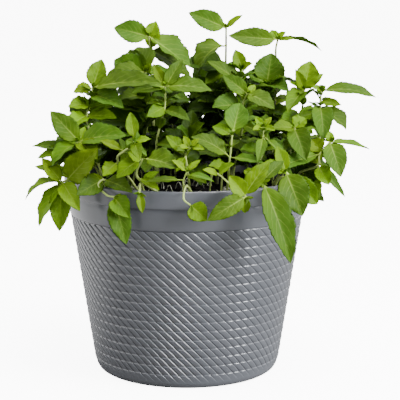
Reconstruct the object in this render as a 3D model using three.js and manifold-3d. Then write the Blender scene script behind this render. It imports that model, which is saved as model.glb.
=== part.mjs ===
// A potted mint plant: a grey planter with a woven relief, its soil, and the leafy stems.
// Millimetres, +Z up. The origin is the middle of the pot's flat underside, and -Y is the front.

import * as THREE from "three";
import Module from "manifold-3d";

const wasm = await Module();
wasm.setup();

// ---------------------------------------------------------------- driving dimensions

// The pot: a ten inch planter.
const POT_HEIGHT = 206;
const RIM_RADIUS = 127;
const BASE_RADIUS = 89;
const FOOT = { radius: 97, height: 13 };
const BAND = { low: 166, high: 188.5, lowRadius: 121, highRadius: 124.2 };
const WALL = 2.6;
const FLOOR = 3.2;

// The woven relief: slanting tiles in rows, larger than life here.
const TILE_COLUMNS = 30;
const TILE_ROWS = 7;
const RELIEF = { low: 16, high: 163, groove: 0.5, pad: 0.7, inset: 0.16 };

// The soil, and the plain holes that the stems stand in.
const SOIL_TOP = 190;
const SOIL_GAP = 0.4;
const SOIL_SIDES = 22;
const SOIL_HEAP = { outer: 98, inner: 52, bumps: 2.4 };
const HOLE_DEPTH = 12;
const HOLE_GAP = 0.35;

// Mint has square stems.
const STEM_HALF = 1.15;
const STEM_CLEAR_OF_SOIL = 4;
const STEM_RING_EVERY = 46;
const RING_APART = 6;

// Leaves grow from collars, which are low bands round the stem.
const COLLAR = 0.9;
const COLLAR_PITCH = 1.9;
const LEAVES_PER_COLLAR = 3;

// Leaf blades.
const BLADE_THICKNESS = 0.8;
const BLADE_FOLD = 0.3;
const CLEARANCE = 0.35;
const ROOT_TOUCH = 0.00001;
const SEAT_FIT = 0.2;
const LARGE_LEAF = 52;
const SMALL_LEAF = 22;

const COLOURS = { pot: 0x6c6f75, soil: 0x1f1812, young: 0x8fb52c, mature: 0x5e8a26 };

// ---------------------------------------------------------------- the stems seen from the front
// Each stem: name, where it stands on the soil [x, y], the places of its nodes from the lowest to
// the tip, and its leaves. A leaf: the node that it grows from (a fraction lies between two nodes),
// its tip x, y, z, its width, how far it arches, and the way that its upper face looks.

const FACES = {
  front: [0, -1, 0.3],
  mid: [0, -0.7, 0.7],
  up: [0, -0.2, 1],
  edge: [0, 0.16, 1],
  back: [0, 0.6, 0.6],
  left: [-0.6, -0.6, 0.5],
  leftUp: [-0.5, -0.6, 0.8],
  leftFront: [-0.5, -1, 0.2],
  rightUp: [0.4, -0.6, 0.8],
  rightFront: [0.35, -1, 0.2],
};

const FRONT_STEMS = [
  ["tall_left", [-34, -8], [[-34, -14, 262], [-36, -12, 306], [-37, -10, 333], [-38, -10, 346]], [
    [4, -74, -6, 355, 18, 0.1, "front"],
    [4, -31, -8, 361, 9, 0.04, "front"],
    [4, 8, -22, 326, 26, 0.26, "rightUp"],
    [2, -59, -40, 287, 16, 0.1, "mid"],
    [2, -5, -30, 284, 15, 0.1, "mid"],
    [3, -19, 10, 315, 14, 0.1, "back"],
  ]],
  ["tall_centre", [32, 12], [[43, 18, 258], [41, 20, 310], [41, 20, 335], [41, 20, 353]], [
    [4, 2, 22, 369, 16, 0.1, "front"],
    [4, 58, 16, 367, 7, 0.06, "mid"],
    [3, 12, 8, 308, 20, 0.36, "leftUp"],
    [2, 19, 0, 297, 17, 0.15, "mid"],
    [2, 69, 40, 293, 15, 0.1, "up"],
  ]],
  ["tall_right", [74, 8], [[89, 14, 258], [94, 12, 302], [92, 10, 329], [94, 10, 342]], [
    [4, 44, 8, 349, 19, 0.05, "front"],
    [4, 87, 12, 352, 8, 0.03, "front"],
    [4, 102, 8, 350, 7, 0.03, "mid"],
    [4, 111, 4, 343, 6, 0.03, "mid"],
    [4, 140, 10, 331, 12, 0.22, "edge"],
    [2, 119, 30, 292, 15, 0.1, "up"],
  ]],
  ["left_high", [-56, -14], [[-39, -30, 263], [-42, -33, 289], [-41, -35, 312]], [
    [3, -50, -14, 336, 27, 0.06, "front"],
    [3, -81, -40, 307, 17, 0.25, "left"],
    [3, -15, -20, 311, 13, 0.1, "mid"],
    [2, -66, -60, 287, 17, 0.1, "mid"],
    [3, -36, -40, 321, 8, 0.03, "front"],
  ]],
  ["left_front_high", [-30, -46], [[-30, -56, 243], [-22, -58, 277], [-21, -60, 300]], [
    [3, -4, -54, 327, 13, 0.08, "front"],
    [3, -33, -58, 323, 10, 0.05, "front"],
    [3, 25, -68, 297, 19, 0.16, "mid"],
    [2.1, -39, -74, 272, 14, 0.1, "front"],
    [3, -54, -74, 295, 15, 0.12, "mid"],
    [2, 3, -80, 269, 13, 0.12, "mid"],
    [1, -4, -90, 241, 13, 0.1, "mid"],
  ]],
  ["left_mid", [-84, -26], [[-99, -46, 263], [-96, -42, 281], [-94, -40, 297]], [
    [3, -85, -30, 325, 18, 0.05, "front"],
    [3, -28, -66, 300, 22, 0.12, "mid"],
    [3, -113, -44, 293, 13, 0.05, "mid"],
    [2, -118, -50, 279, 16, 0.08, "mid"],
    [2.6, -62, -64, 279, 20, 0.12, "mid"],
    [1.2, -117, -66, 260, 17, 0.12, "mid"],
    [1.2, -69, -60, 269, 15, 0.1, "mid"],
  ]],
  ["left", [-96, -44], [[-99, -62, 224], [-101, -79, 238], [-105, -80, 248]], [
    [3, -133, -78, 278, 20, 0.08, "front"],
    [3, -58, -96, 256, 23, 0.14, "mid"],
    [3, -131, -92, 226, 20, 0.2, "leftUp"],
    [3, -86, -104, 234, 18, 0.16, "mid"],
    [2, -153, -66, 242, 9, 0.16, "mid"],
    [2, -149, -70, 232, 9, 0.12, "mid"],
    [3, -100, -84, 264, 9, 0.03, "front"],
  ]],
  ["bottom_left", [-74, -64], [[-87, -83, 214], [-106, -87, 213], [-118, -84, 210], [-122, -84, 209]], [
    [4, -142, -80, 232, 13, 0.06, "front"],
    [4, -159, -88, 192, 13, 0.34, "up"],
    [4, -145, -92, 166, 16, 0.14, "leftUp"],
    [4, -125, -98, 162, 16, 0.12, "front"],
    [3, -85, -92, 243, 25, 0.1, "front"],
    [4, -103, -100, 183, 17, 0.14, "front"],
    [2, -152, -66, 222, 9, 0.1, "mid"],
  ]],
  ["inner_left", [-46, -72], [[-66, -106, 232], [-60, -111, 243], [-51, -114, 248], [-50, -115, 253]], [
    [4, -54, -104, 280, 13, 0.05, "front"],
    [4, -35, -120, 256, 9, 0.08, "mid"],
    [4, -44, -130, 237, 12, 0.1, "front"],
    [2, -83, -108, 253, 10, 0.1, "mid"],
    [1, -80, -118, 220, 16, 0.14, "mid"],
  ]],
  ["low_left", [-22, -92], [[-47, -114, 218], [-42, -118, 237]], [
    [2, -8, -132, 230, 24, 0.14, "mid"],
    [2, -67, -124, 219, 19, 0.18, "mid"],
    [1, -26, -122, 207, 9, 0.1, "mid"],
    [2, -56, -112, 242, 13, 0.06, "front"],
  ]],
  ["low_centre", [-4, -98], [[-3, -121, 210], [-3, -124, 217], [0, -126, 225]], [
    [2, -40, -134, 217, 9, 0.1, "mid"],
    [3, -14, -128, 237, 10, 0.08, "mid"],
    [2.6, 26, -134, 217, 8, 0.3, "mid"],
    [3, 13, -122, 236, 8, 0.06, "mid"],
  ]],
  ["drooping_centre", [8, -106], [[0, -122, 211], [-3, -134, 201], [3, -135, 195]], [
    [3, 19, -142, 181, 18, 0.12, "front"],
  ]],
  ["centre_young", [4, -76], [[0, -104, 228], [-1, -106, 238], [3, -108, 246]], [
    [3, -3, -104, 257, 8, 0.04, "front"],
    [3, 12, -108, 255, 7, 0.05, "mid"],
    [3, -10, -113, 247, 7, 0.08, "mid"],
    [2, -20, -104, 257, 15, 0.14, "mid"],
    [3, 17, -112, 245, 8, 0.06, "mid"],
    [2, -10, -116, 224, 10, 0.1, "mid"],
  ]],
  ["centre_upright", [40, -66], [[41, -90, 221], [42, -93, 234], [44, -95, 256]], [
    [3, 52, -78, 286, 24, 0.06, "front"],
    [2, 4, -102, 256, 20, 0.26, "mid"],
    [2, 74, -106, 231, 10, 0.1, "mid"],
    [3, 25, -88, 264, 14, 0.1, "mid"],
    [1, 21, -106, 228, 15, 0.15, "mid"],
  ]],
  ["front_trailing", [22, -92], [[24, -116, 220], [30, -121, 222], [43, -129, 212], [56, -136, 203]], [
    [4, 19, -148, 182, 17, 0.14, "front"],
    [4, 40, -134, 223, 15, 0.12, "front"],
    [4, 55, -142, 188, 9, 0.05, "front"],
    [3.9, 79, -126, 236, 17, 0.12, "mid"],
    [2, 45, -124, 233, 9, 0.06, "mid"],
    [2, 15, -124, 227, 8, 0.08, "mid"],
  ]],
  ["hanging_right", [60, -86], [[62, -104, 212], [67, -122, 217], [72, -128, 216]], [
    [3, 99, -140, 139, 31, 0.12, "rightFront"],
    [3, 93, -112, 234, 12, 0.1, "mid"],
    [2, 55, -114, 225, 12, 0.1, "mid"],
  ]],
  ["right_front", [86, -66], [[91, -82, 212], [100, -104, 216], [95, -112, 223]], [
    [3, 111, -124, 182, 27, 0.14, "front"],
    [3, 68, -118, 230, 14, 0.14, "mid"],
    [2, 127, -104, 190, 20, 0.14, "front"],
    [3, 87, -96, 246, 13, 0.1, "mid"],
  ]],
  ["centre_sprig", [60, -44], [[76, -74, 239], [75, -78, 253], [75, -80, 262]], [
    [3, 67, -76, 272, 8, 0.04, "front"],
    [3, 83, -78, 272, 7, 0.05, "mid"],
    [3, 64, -86, 260, 8, 0.06, "mid"],
    [2, 98, -96, 229, 11, 0.1, "rightUp"],
    [2, 74, -94, 230, 12, 0.16, "front"],
    [3, 86, -84, 259, 8, 0.06, "mid"],
    [1, 52, -88, 241, 14, 0.1, "mid"],
  ]],
  ["pair_centre_right", [44, -30], [[56, -52, 261], [55, -56, 280], [60, -60, 293]], [
    [3, 36, -56, 311, 15, 0.06, "front"],
    [3, 86, -78, 280, 18, 0.14, "mid"],
    [3, 68, -54, 301, 7, 0.04, "front"],
    [2, 25, -66, 280, 21, 0.16, "mid"],
    [1, 82, -74, 249, 16, 0.12, "mid"],
    [1, 27, -70, 258, 15, 0.1, "mid"],
  ]],
  ["upright_small", [48, 0], [[55, -4, 271], [56, -1, 297], [57, 0, 312]], [
    [3, 50, 4, 332, 13, 0.03, "front"],
    [3, 45, -2, 321, 5, 0.03, "front"],
    [3, 67, -6, 318, 9, 0.06, "mid"],
    [2, 21, 0, 320, 16, 0.12, "mid"],
    [1, 28, -16, 282, 18, 0.12, "mid"],
    [1, 77, -20, 278, 17, 0.12, "mid"],
  ]],
  ["dark_right_top", [74, 26], [[85, 14, 269], [83, 8, 296]], [
    [2, 92, 14, 328, 24, 0.08, "front"],
    [2, 59, -6, 308, 16, 0.12, "mid"],
    [2, 104, -12, 290, 17, 0.16, "mid"],
    [1, 61, -12, 274, 17, 0.14, "mid"],
    [1, 108, -14, 265, 16, 0.14, "mid"],
  ]],
  ["right_top", [97, -9], [[117, -8, 265], [120, -10, 292]], [
    [2, 127, -4, 321, 22, 0.06, "front"],
    [2, 110, -12, 312, 10, 0.04, "front"],
    [2, 140, -6, 308, 10, 0.06, "rightUp"],
    [2, 102, -34, 271, 18, 0.14, "leftFront"],
    [2, 104, -18, 301, 6, 0.03, "mid"],
    [1, 130, -4, 276, 4, 0.3, "mid"],
    [1, 95, -30, 261, 16, 0.12, "mid"],
  ]],
  ["right_upper", [112, -6], [[135, -22, 242], [136, -20, 270], [136, -20, 281], [137, -20, 292]], [
    [4, 193, -18, 285, 13, 0.16, "mid"],
    [4, 141, -22, 297, 8, 0.03, "mid"],
    [3, 157, -26, 278, 10, 0.06, "mid"],
    [2, 161, -36, 254, 21, 0.3, "rightUp"],
    [2.4, 136, -52, 244, 20, 0.22, "front"],
    [4, 127, -24, 296, 7, 0.03, "mid"],
  ]],
  ["right", [104, -38], [[114, -48, 212], [130, -66, 222], [132, -64, 233], [142, -62, 245]], [
    [4, 182, -62, 238, 12, 0.16, "up"],
    [4, 151, -82, 213, 21, 0.14, "front"],
    [4, 159, -70, 224, 13, 0.1, "rightUp"],
    [4, 142, -60, 256, 8, 0.03, "front"],
    [3, 82, -86, 220, 15, 0.08, "mid"],
    [2, 141, -74, 204, 15, 0.1, "front"],
    [2.4, 159, -58, 189, 7, 0.1, "mid"],
  ]],
  ["right_inner", [88, -26], [[113, -50, 246], [107, -54, 258]], [
    [2, 117, -76, 228, 21, 0.16, "front"],
    [2, 84, -70, 260, 15, 0.1, "mid"],
    [2, 119, -48, 267, 15, 0.1, "mid"],
    [1, 94, -72, 237, 15, 0.1, "mid"],
  ]],
  ["left_trailing", [-68, -76], [[-80, -92, 212], [-86, -102, 208], [-77, -109, 200], [-70, -113, 199]], [
    [4, -55, -126, 181, 18, 0.14, "front"],
    [4, -58, -128, 155, 20, 0.1, "front"],
    [1, -52, -118, 204, 17, 0.12, "mid"],
    [1, -101, -112, 210, 15, 0.12, "mid"],
  ]],
  ["dark_hanging", [-40, -98], [[-44, -114, 212], [-45, -128, 206]], [
    [2, -42, -134, 187, 9, 0.1, "front"],
    [1, -33, -124, 225, 9, 0.08, "mid"],
  ]],
];

// ---------------------------------------------------------------- the stems at the sides, the back and inside
// These stand in rings. Each ring: how many stems, the azimuths that it spans (0 is +X, 90 is the
// back), where they stand, and how far out and how high their tips are at its two ends and its middle.

const BACK_RINGS = [
  { name: "back_low", count: 8, from: 12, to: 170, root: 92, reachEnds: 122, reachMiddle: 150, top: 226 },
  { name: "back_mid", count: 6, from: 16, to: 164, root: 64, reachEnds: 88, reachMiddle: 112, top: 258 },
  { name: "back_top", count: 4, from: 32, to: 148, root: 36, reachEnds: 42, reachMiddle: 62, top: 284 },
  { name: "inner", count: 3, from: 218, to: 322, root: 46, reachEnds: 58, reachMiddle: 60, top: 244 },
];
const BACK_PAIRS = [
  { station: 1, length: 44, rise: 18, droop: 0.45 },
  { station: 1.7, length: 45, rise: 22, droop: 0.3 },
  { station: 2.35, length: 39, rise: 34, droop: 0.15 },
  { station: 3, length: 26, rise: 54, droop: 0 },
];

// Tall front stems carry one more pair low down, by the same rule.
const INNER_PAIR = { station: 0.62, length: 42, rise: 20, droop: 0.2 };
const INNER_FROM_HEIGHT = 228;
const RULE_LEAF = { width: 0.5, arch: 0.13, lengthSpread: 0.3, turnSpread: 50, riseSpread: 16 };

// What a leaf tries, in turn, until it is clear of its neighbours.
const FRONT_TRIES = [
  [0, 0, 0], [0, -6, 1], [0, 6, -1], [0, -12, 2], [0, 12, -2], [4, -9, 5], [-4, 9, -5],
  [-6, -14, 2], [6, 14, -2], [0, -20, 3], [0, 20, -3], [9, -4, -7], [-9, 4, 7],
];
const RULE_TRIES = [
  [0, 0, 1], [20, 0, 0.95], [-20, 0, 0.95], [0, 18, 0.9], [0, -18, 0.9], [36, 10, 0.85],
  [-36, 10, 0.85], [20, -24, 0.8], [-20, -24, 0.8], [0, 30, 0.75], [50, 0, 0.7], [-50, 0, 0.7],
];

// ---------------------------------------------------------------- small helpers

const vector = (x, y, z) => new THREE.Vector3(x, y, z);
const radians = THREE.MathUtils.degToRad;

// A number between 0 and 1 that depends only on its three seeds.
function chance(a, b, c) {
  const x = Math.sin(a * 12.9898 + b * 78.233 + c * 37.719) * 43758.5453;
  return x - Math.floor(x);
}

function solidOf(points, triangles) {
  const vertProperties = new Float32Array(points.flatMap((p) => [p.x, p.y, p.z]));
  const triVerts = new Uint32Array(triangles.flat());
  return new wasm.Manifold(new wasm.Mesh({ numProp: 3, vertProperties, triVerts }));
}

// The points and triangles of a solid that was cut.
function skinOf(solid) {
  const { vertProperties, triVerts } = solid.getMesh();
  const points = [];
  const triangles = [];
  for (let i = 0; i < vertProperties.length; i += 3) points.push(vector(...vertProperties.slice(i, i + 3)));
  for (let i = 0; i < triVerts.length; i += 3) triangles.push([...triVerts.slice(i, i + 3)]);
  return { points, triangles };
}

function meshOf(name, { points, triangles }, colour, roughness) {
  const geometry = new THREE.BufferGeometry().setFromPoints(points);
  geometry.setIndex(triangles.flat());
  geometry.computeVertexNormals();
  const material = new THREE.MeshStandardMaterial({ color: colour, roughness, metalness: 0 });
  const piece = new THREE.Mesh(geometry, material);
  piece.name = name;
  return piece;
}

// ---------------------------------------------------------------- the pot and the soil

// Joins rings of points, from the lowest outside ring round to the last one, and closes both ends
// with a middle point. Between two tile rings each cell slants by one column and is a raised, flat pad.
function ringMesh(rings, sides) {
  const points = [];
  const triangles = [];
  rings.forEach(({ radius, z, wobble = () => 0 }) => {
    for (let i = 0; i < sides; i += 1) {
      const angle = (2 * Math.PI * i) / sides;
      points.push(vector(radius * Math.cos(angle), radius * Math.sin(angle), z + wobble(i)));
    }
  });
  for (let row = 0; row + 1 < rings.length; row += 1) {
    const pad = rings[row].pad;
    for (let i = 0; i < sides; i += 1) {
      const slant = pad ? -1 : 0;
      const low = row * sides + i;
      const lowNext = row * sides + ((i + 1) % sides);
      const high = (row + 1) * sides + ((i + slant + sides) % sides);
      const highNext = (row + 1) * sides + ((i + 1 + slant + sides) % sides);
      if (pad) {
        const corners = [low, lowNext, highNext, high];
        const middle = corners.reduce((sum, k) => sum.addScaledVector(points[k], 0.25), vector(0, 0, 0));
        const inner = corners.map((k) => {
          const point = points[k].clone().lerp(middle, 2 * RELIEF.inset);
          const out = 1 + pad / Math.hypot(point.x, point.y);
          return points.push(vector(point.x * out, point.y * out, point.z)) - 1;
        });
        corners.forEach((corner, k) => {
          const next = (k + 1) % 4;
          triangles.push([corner, corners[next], inner[next]], [corner, inner[next], inner[k]]);
        });
        triangles.push([inner[0], inner[1], inner[2]], [inner[0], inner[2], inner[3]]);
      } else {
        triangles.push([low, lowNext, highNext], [low, highNext, high]);
      }
    }
  }
  const first = points.push(vector(0, 0, rings[0].z)) - 1;
  const last = points.push(vector(0, 0, rings.at(-1).z)) - 1;
  const lastRing = (rings.length - 1) * sides;
  for (let i = 0; i < sides; i += 1) {
    const next = (i + 1) % sides;
    triangles.push([first, next, i], [last, lastRing + i, lastRing + next]);
  }
  return { points, triangles };
}

// The outside radius of the tapered wall at a height.
function wallRadius(z) {
  const rise = (z - FOOT.height) / (BAND.low - FOOT.height);
  return FOOT.radius + (BAND.lowRadius - 0.5 - FOOT.radius) * rise;
}

function potMesh() {
  const tiles = [];
  for (let row = 0; row <= TILE_ROWS; row += 1) {
    const z = RELIEF.low + ((RELIEF.high - RELIEF.low) * row) / TILE_ROWS;
    const pad = row < TILE_ROWS ? RELIEF.groove + RELIEF.pad : 0;
    tiles.push({ radius: wallRadius(z) - RELIEF.groove, z, pad });
  }
  const rings = [
    { radius: BASE_RADIUS, z: 0 },
    { radius: BASE_RADIUS + 5.5, z: 4.5 },
    { radius: FOOT.radius, z: FOOT.height },
    ...tiles,
    { radius: BAND.lowRadius, z: BAND.low },
    { radius: BAND.highRadius, z: BAND.high },
    { radius: RIM_RADIUS - 0.4, z: BAND.high + 0.8 },
    { radius: RIM_RADIUS, z: POT_HEIGHT - 8 },
    { radius: RIM_RADIUS - 0.7, z: POT_HEIGHT - 1 },
    { radius: RIM_RADIUS - 1.7, z: POT_HEIGHT },
    { radius: RIM_RADIUS - WALL - 0.4, z: POT_HEIGHT - 0.9 },
    { radius: BAND.highRadius - WALL, z: BAND.high },
    { radius: FOOT.radius - WALL, z: FOOT.height },
    { radius: BASE_RADIUS, z: FLOOR },
  ];
  return ringMesh(rings, TILE_COLUMNS);
}

// The inside radius of the pot at a height, between its lowest and its band.
function insideRadius(z) {
  const rise = (z - FOOT.height) / (BAND.high - FOOT.height);
  return FOOT.radius - WALL + (BAND.highRadius - FOOT.radius) * rise;
}

function soilSolid(roots) {
  const bumps = (ring) => (i) => SOIL_HEAP.bumps * (chance(ring, i, 7) - 0.5);
  const edge = SOIL_TOP - 2.5;
  const rings = [
    { radius: BASE_RADIUS - 1, z: FLOOR + SOIL_GAP },
    { radius: insideRadius(FOOT.height) - SOIL_GAP - 0.6, z: FOOT.height },
    { radius: insideRadius(edge) - SOIL_GAP - 0.4, z: edge },
    { radius: SOIL_HEAP.outer, z: SOIL_TOP, wobble: bumps(1) },
    { radius: SOIL_HEAP.inner, z: SOIL_TOP, wobble: bumps(2) },
  ];
  const whole = ringMesh(rings, SOIL_SIDES);
  const half = STEM_HALF + HOLE_GAP;
  return roots.reduce((soil, [x, y]) => {
    const box = new THREE.BoxGeometry(2 * half, 2 * half, 2 * HOLE_DEPTH);
    box.translate(x, y, SOIL_TOP);
    return soil.subtract(boxSolid(box));
  }, solidOf(whole.points, whole.triangles));
}

// A box has separate corners on each side, so the ones that share a place are joined first.
function boxSolid(box) {
  const places = box.getAttribute("position");
  const keys = new Map();
  const points = [];
  const number = (i) => {
    const point = vector().fromBufferAttribute(places, i);
    const key = point.toArray().join();
    if (!keys.has(key)) keys.set(key, points.push(point) - 1);
    return keys.get(key);
  };
  const corners = Array.from(box.index.array, number);
  const triangles = [];
  for (let i = 0; i < corners.length; i += 3) triangles.push(corners.slice(i, i + 3));
  return solidOf(points, triangles);
}

// ---------------------------------------------------------------- stems

// A stem's line: straight up out of the soil, then a Catmull-Rom curve through its nodes.
// Station 0 is just above the soil, and station k is the k-th node.
function stemLine(root, nodes) {
  const start = vector(root[0], root[1], SOIL_TOP + STEM_CLEAR_OF_SOIL);
  const stops = [start, ...nodes.map((n) => vector(...n))];
  const last = stops.length - 1;
  const before = vector(start.x, start.y, start.z - 20);
  const after = stops[last].clone().multiplyScalar(2).sub(stops[last - 1]);
  const stop = (i) => (i < 0 ? before : i > last ? after : stops[i]);
  const at = (station) => {
    const i = Math.min(Math.floor(station), last - 1);
    const t = station - i;
    const weights = [-t + 2 * t * t - t ** 3, 2 - 5 * t * t + 3 * t ** 3, t + 4 * t * t - 3 * t ** 3, t ** 3 - t * t];
    return weights.reduce((sum, weight, k) => sum.addScaledVector(stop(i - 1 + k), weight / 2), vector(0, 0, 0));
  };
  const heading = (station) => {
    const low = Math.max(station - 0.05, 0);
    const high = Math.min(station + 0.05, last);
    return at(high).sub(at(low)).normalize();
  };
  const reach = (station) => {
    const steps = Math.ceil(station * 20);
    let length = 0;
    for (let k = 0; k < steps; k += 1) {
      length += at((station * k) / steps).distanceTo(at((station * (k + 1)) / steps));
    }
    return length;
  };
  return { at, heading, reach, last, root, start };
}

// Where a stem has its rings of four corners. Leaves grow from collars: two rings close together,
// whose four sides carry one leaf each. A station with many leaves has a few collars in a stack.
function stemStops(line, leafStations) {
  const stops = [];
  const collars = [];
  const stop = (station, offset) => {
    const place = line.at(station).addScaledVector(line.heading(station), offset);
    return stops.push({ place, heading: line.heading(station), key: line.reach(station) + offset }) - 1;
  };
  [...new Set(leafStations)].forEach((station) => {
    const wanted = leafStations.filter((s) => s === station).length;
    const upper = station === line.last ? 0 : COLLAR / 2;
    for (let k = 0; k < Math.ceil(wanted / LEAVES_PER_COLLAR); k += 1) {
      const high = upper - k * COLLAR_PITCH;
      collars.push({ station, low: stop(station, high - COLLAR), high: stop(station, high), used: [] });
    }
  });
  const taken = stops.map(({ key }) => key);
  for (let i = 0; i < line.last; i += 1) {
    const steps = Math.max(1, Math.round(line.at(i).distanceTo(line.at(i + 1)) / STEM_RING_EVERY));
    for (let k = 1; k <= steps; k += 1) {
      const reach = line.reach(i + k / steps);
      if (taken.every((key) => Math.abs(key - reach) > RING_APART)) stop(i + k / steps, 0);
    }
  }
  const up = vector(0, 0, 1);
  const foot = vector(line.root[0], line.root[1], SOIL_TOP - HOLE_DEPTH + HOLE_GAP);
  stops.push({ place: foot, heading: up, key: -2 }, { place: line.start, heading: up, key: -1 });
  return { stops, collars };
}

// The square stem itself, its rings carried along the line without twist.
function growStem(name, line, leafStations) {
  const { stops, collars } = stemStops(line, leafStations);
  const order = stops.map((_, i) => i).sort((a, b) => stops[a].key - stops[b].key);
  const points = [];
  const across = vector(1, 0, 0);
  order.forEach((i) => {
    const { place, heading } = stops[i];
    across.addScaledVector(heading, -across.dot(heading)).normalize();
    const beside = heading.clone().cross(across);
    [[1, 1], [-1, 1], [-1, -1], [1, -1]].forEach(([u, v]) => {
      points.push(place.clone().addScaledVector(across, u * STEM_HALF).addScaledVector(beside, v * STEM_HALF));
    });
  });
  const rows = order.length;
  const faces = [];
  for (let row = 0; row + 1 < rows; row += 1) {
    for (let side = 0; side < 4; side += 1) {
      const next = (side + 1) % 4;
      faces.push([4 * row + side, 4 * row + next, 4 * row + 4 + next, 4 * row + 4 + side]);
    }
  }
  const top = 4 * (rows - 1);
  faces.push([0, 3, 2, 1], [top, top + 1, top + 2, top + 3]);
  const seats = [];
  collars.forEach(({ station, low }) => {
    const row = order.indexOf(low);
    for (let side = 0; side < 4; side += 1) seats.push({ station, face: 4 * row + side });
  });
  seats.push({ station: line.last, face: faces.length - 1 });
  const solid = solidOf(points, faces.flatMap(([a, b, c, d]) => [[a, b, c], [a, c, d]]));
  return { name, line, points, faces, seats, solid, leaves: [] };
}

// ---------------------------------------------------------------- leaves

// Half the width of a mint leaf along its length, as a part of its largest half width.
function outline(u) {
  return (u ** 0.75 * (1 - u) ** 0.8) / (0.4839 ** 0.75 * 0.5161 ** 0.8);
}

// Where the edge's points lie, and how far each is drawn in or out for the teeth.
const EDGES = {
  large: [[0.2, 0.92], [0.36, 1.06], [0.5, 0.92], [0.66, 1.08], [0.82, 0.94]],
  medium: [[0.24, 0.92], [0.52, 1.04], [0.78, 1]],
  small: [[0.34, 1], [0.7, 1.05]],
};
const RIBS = { large: [0.32, 0.68], medium: [0.5], small: [0.5] };

function sizeOf(length) {
  if (length > LARGE_LEAF) return "large";
  return length < SMALL_LEAF ? "small" : "medium";
}

// A blade is an arched, lightly folded sheet that starts at four corners on the stem. Its points are
// those corners, then the upper face and the lower one: one edge, the tip, the other edge, the rib.
function bladePoints(seat, leaf, swell) {
  const { tip, width, arch, faces } = leaf;
  const base = seat.reduce((sum, corner) => sum.addScaledVector(corner, 0.25), vector(0, 0, 0));
  const along = tip.clone().sub(base);
  const length = along.length();
  along.divideScalar(length);
  const up = faces.clone().addScaledVector(along, -faces.dot(along)).normalize();
  const side = along.clone().cross(up);
  const end = tip.clone().addScaledVector(along, swell);
  const bend = base.clone().add(end).multiplyScalar(0.5).addScaledVector(up, arch * length);
  const size = sizeOf(length);
  const half = BLADE_THICKNESS / 2 + swell;
  const spread = width / 2 + swell;
  const upper = [];
  const lower = [];
  const place = (u, v) => {
    const ahead = bend.clone().sub(base).multiplyScalar(1 - u).addScaledVector(end.clone().sub(bend), u);
    const normal = side.clone().cross(ahead).normalize();
    const middle = base.clone().multiplyScalar((1 - u) ** 2)
      .addScaledVector(bend, 2 * u * (1 - u))
      .addScaledVector(end, u ** 2)
      .addScaledVector(side, v)
      .addScaledVector(normal, BLADE_FOLD * Math.abs(v));
    upper.push(middle.clone().addScaledVector(normal, half));
    lower.push(middle.clone().addScaledVector(normal, -half));
  };
  const edge = EDGES[size].map(([u, tooth]) => [u, outline(u) * tooth * spread]);
  edge.forEach(([u, v]) => place(u, v));
  place(1, 0);
  edge.forEach(([u, v]) => place(u, -v));
  RIBS[size].forEach((u) => place(u, 0));
  const wanted = [upper[0], lower[0], lower[edge.length + 1], upper[edge.length + 1]];
  const strain = (turn) => wanted.reduce((sum, point, i) => sum + point.distanceTo(seat[(i + turn) % 4]), 0);
  const turn = [0, 1, 2, 3].reduce((best, other) => (strain(other) < strain(best) ? other : best), 0);
  const corners = [0, 1, 2, 3].map((i) => (i + turn) % 4);
  return { points: [...corners.map((i) => seat[i]), ...upper, ...lower], corners, size };
}

// The strip of triangles between a rib and an edge, each a list of [point number, place along].
function strip(rib, edge) {
  const triangles = [];
  let i = 0;
  let j = 0;
  while (i + 1 < edge.length || j + 1 < rib.length) {
    const edgeFirst = i + 1 < edge.length && (j + 1 >= rib.length || edge[i + 1][1] <= rib[j + 1][1]);
    const ahead = edgeFirst ? edge[i + 1][0] : rib[j + 1][0];
    if (ahead !== rib[j][0] && ahead !== edge[i][0]) triangles.push([rib[j][0], edge[i][0], ahead]);
    if (edgeFirst) i += 1;
    else j += 1;
  }
  return triangles;
}

// Points 0 to 3 are the root's corners: upper and lower of the first edge, lower and upper of the
// second. Both faces are split into the same triangles, with walls along the two edges.
function bladeTriangles(size) {
  const count = EDGES[size].length;
  const total = 2 * count + 1 + RIBS[size].length;
  const tip = count;
  const ribs = RIBS[size].map((u, i) => [2 * count + 1 + i, u]);
  const face = (rootFirst, rootSecond, shift) => {
    const named = (list) => list.map(([k, u]) => [k + shift, u]);
    const rib = named([...ribs, [tip, 1]]);
    const first = [[rootFirst, 0], ...named([...EDGES[size].map(([u], k) => [k, u]), [tip, 1]])];
    const second = [[rootSecond, 0], ...named([...EDGES[size].map(([u], k) => [count + 1 + k, u]), [tip, 1]])];
    return [
      [rootSecond, rootFirst, rib[0][0]],
      ...strip(rib, first),
      ...strip(rib, second).map(([a, b, c]) => [a, c, b]),
    ];
  };
  const triangles = [...face(0, 3, 4), ...face(1, 2, 4 + total).map(([a, b, c]) => [a, c, b])];
  const wall = (up, down) => {
    for (let k = 0; k + 1 < up.length; k += 1) {
      triangles.push([up[k], down[k], down[k + 1]], [up[k], down[k + 1], up[k + 1]]);
    }
  };
  const chain = (start, offset, shift) => [start, ...EDGES[size].map((_, k) => k + offset + shift), tip + shift];
  wall(chain(0, 0, 4), chain(1, 0, 4 + total));
  wall(chain(2, count + 1, 4 + total), chain(3, count + 1, 4));
  return triangles;
}

const TRIANGLES = Object.fromEntries(Object.keys(EDGES).map((size) => [size, bladeTriangles(size)]));
const ROOT_CAP = [[0, 2, 1], [0, 3, 2]];

function bladeSolid(seat, leaf, swell) {
  const blade = bladePoints(seat, leaf, swell);
  const solid = solidOf(blade.points, [...TRIANGLES[blade.size], ...ROOT_CAP]);
  return { ...blade, solid, box: new THREE.Box3().setFromPoints(blade.points) };
}

// ---------------------------------------------------------------- growing the plant

const stems = [];
const placed = [];

function boxOf(solid) {
  const { min, max } = solid.boundingBox();
  return new THREE.Box3(vector(...min), vector(...max));
}

function hold(owner, solid) {
  placed.push({ owner, solid, box: boxOf(solid) });
}

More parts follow.
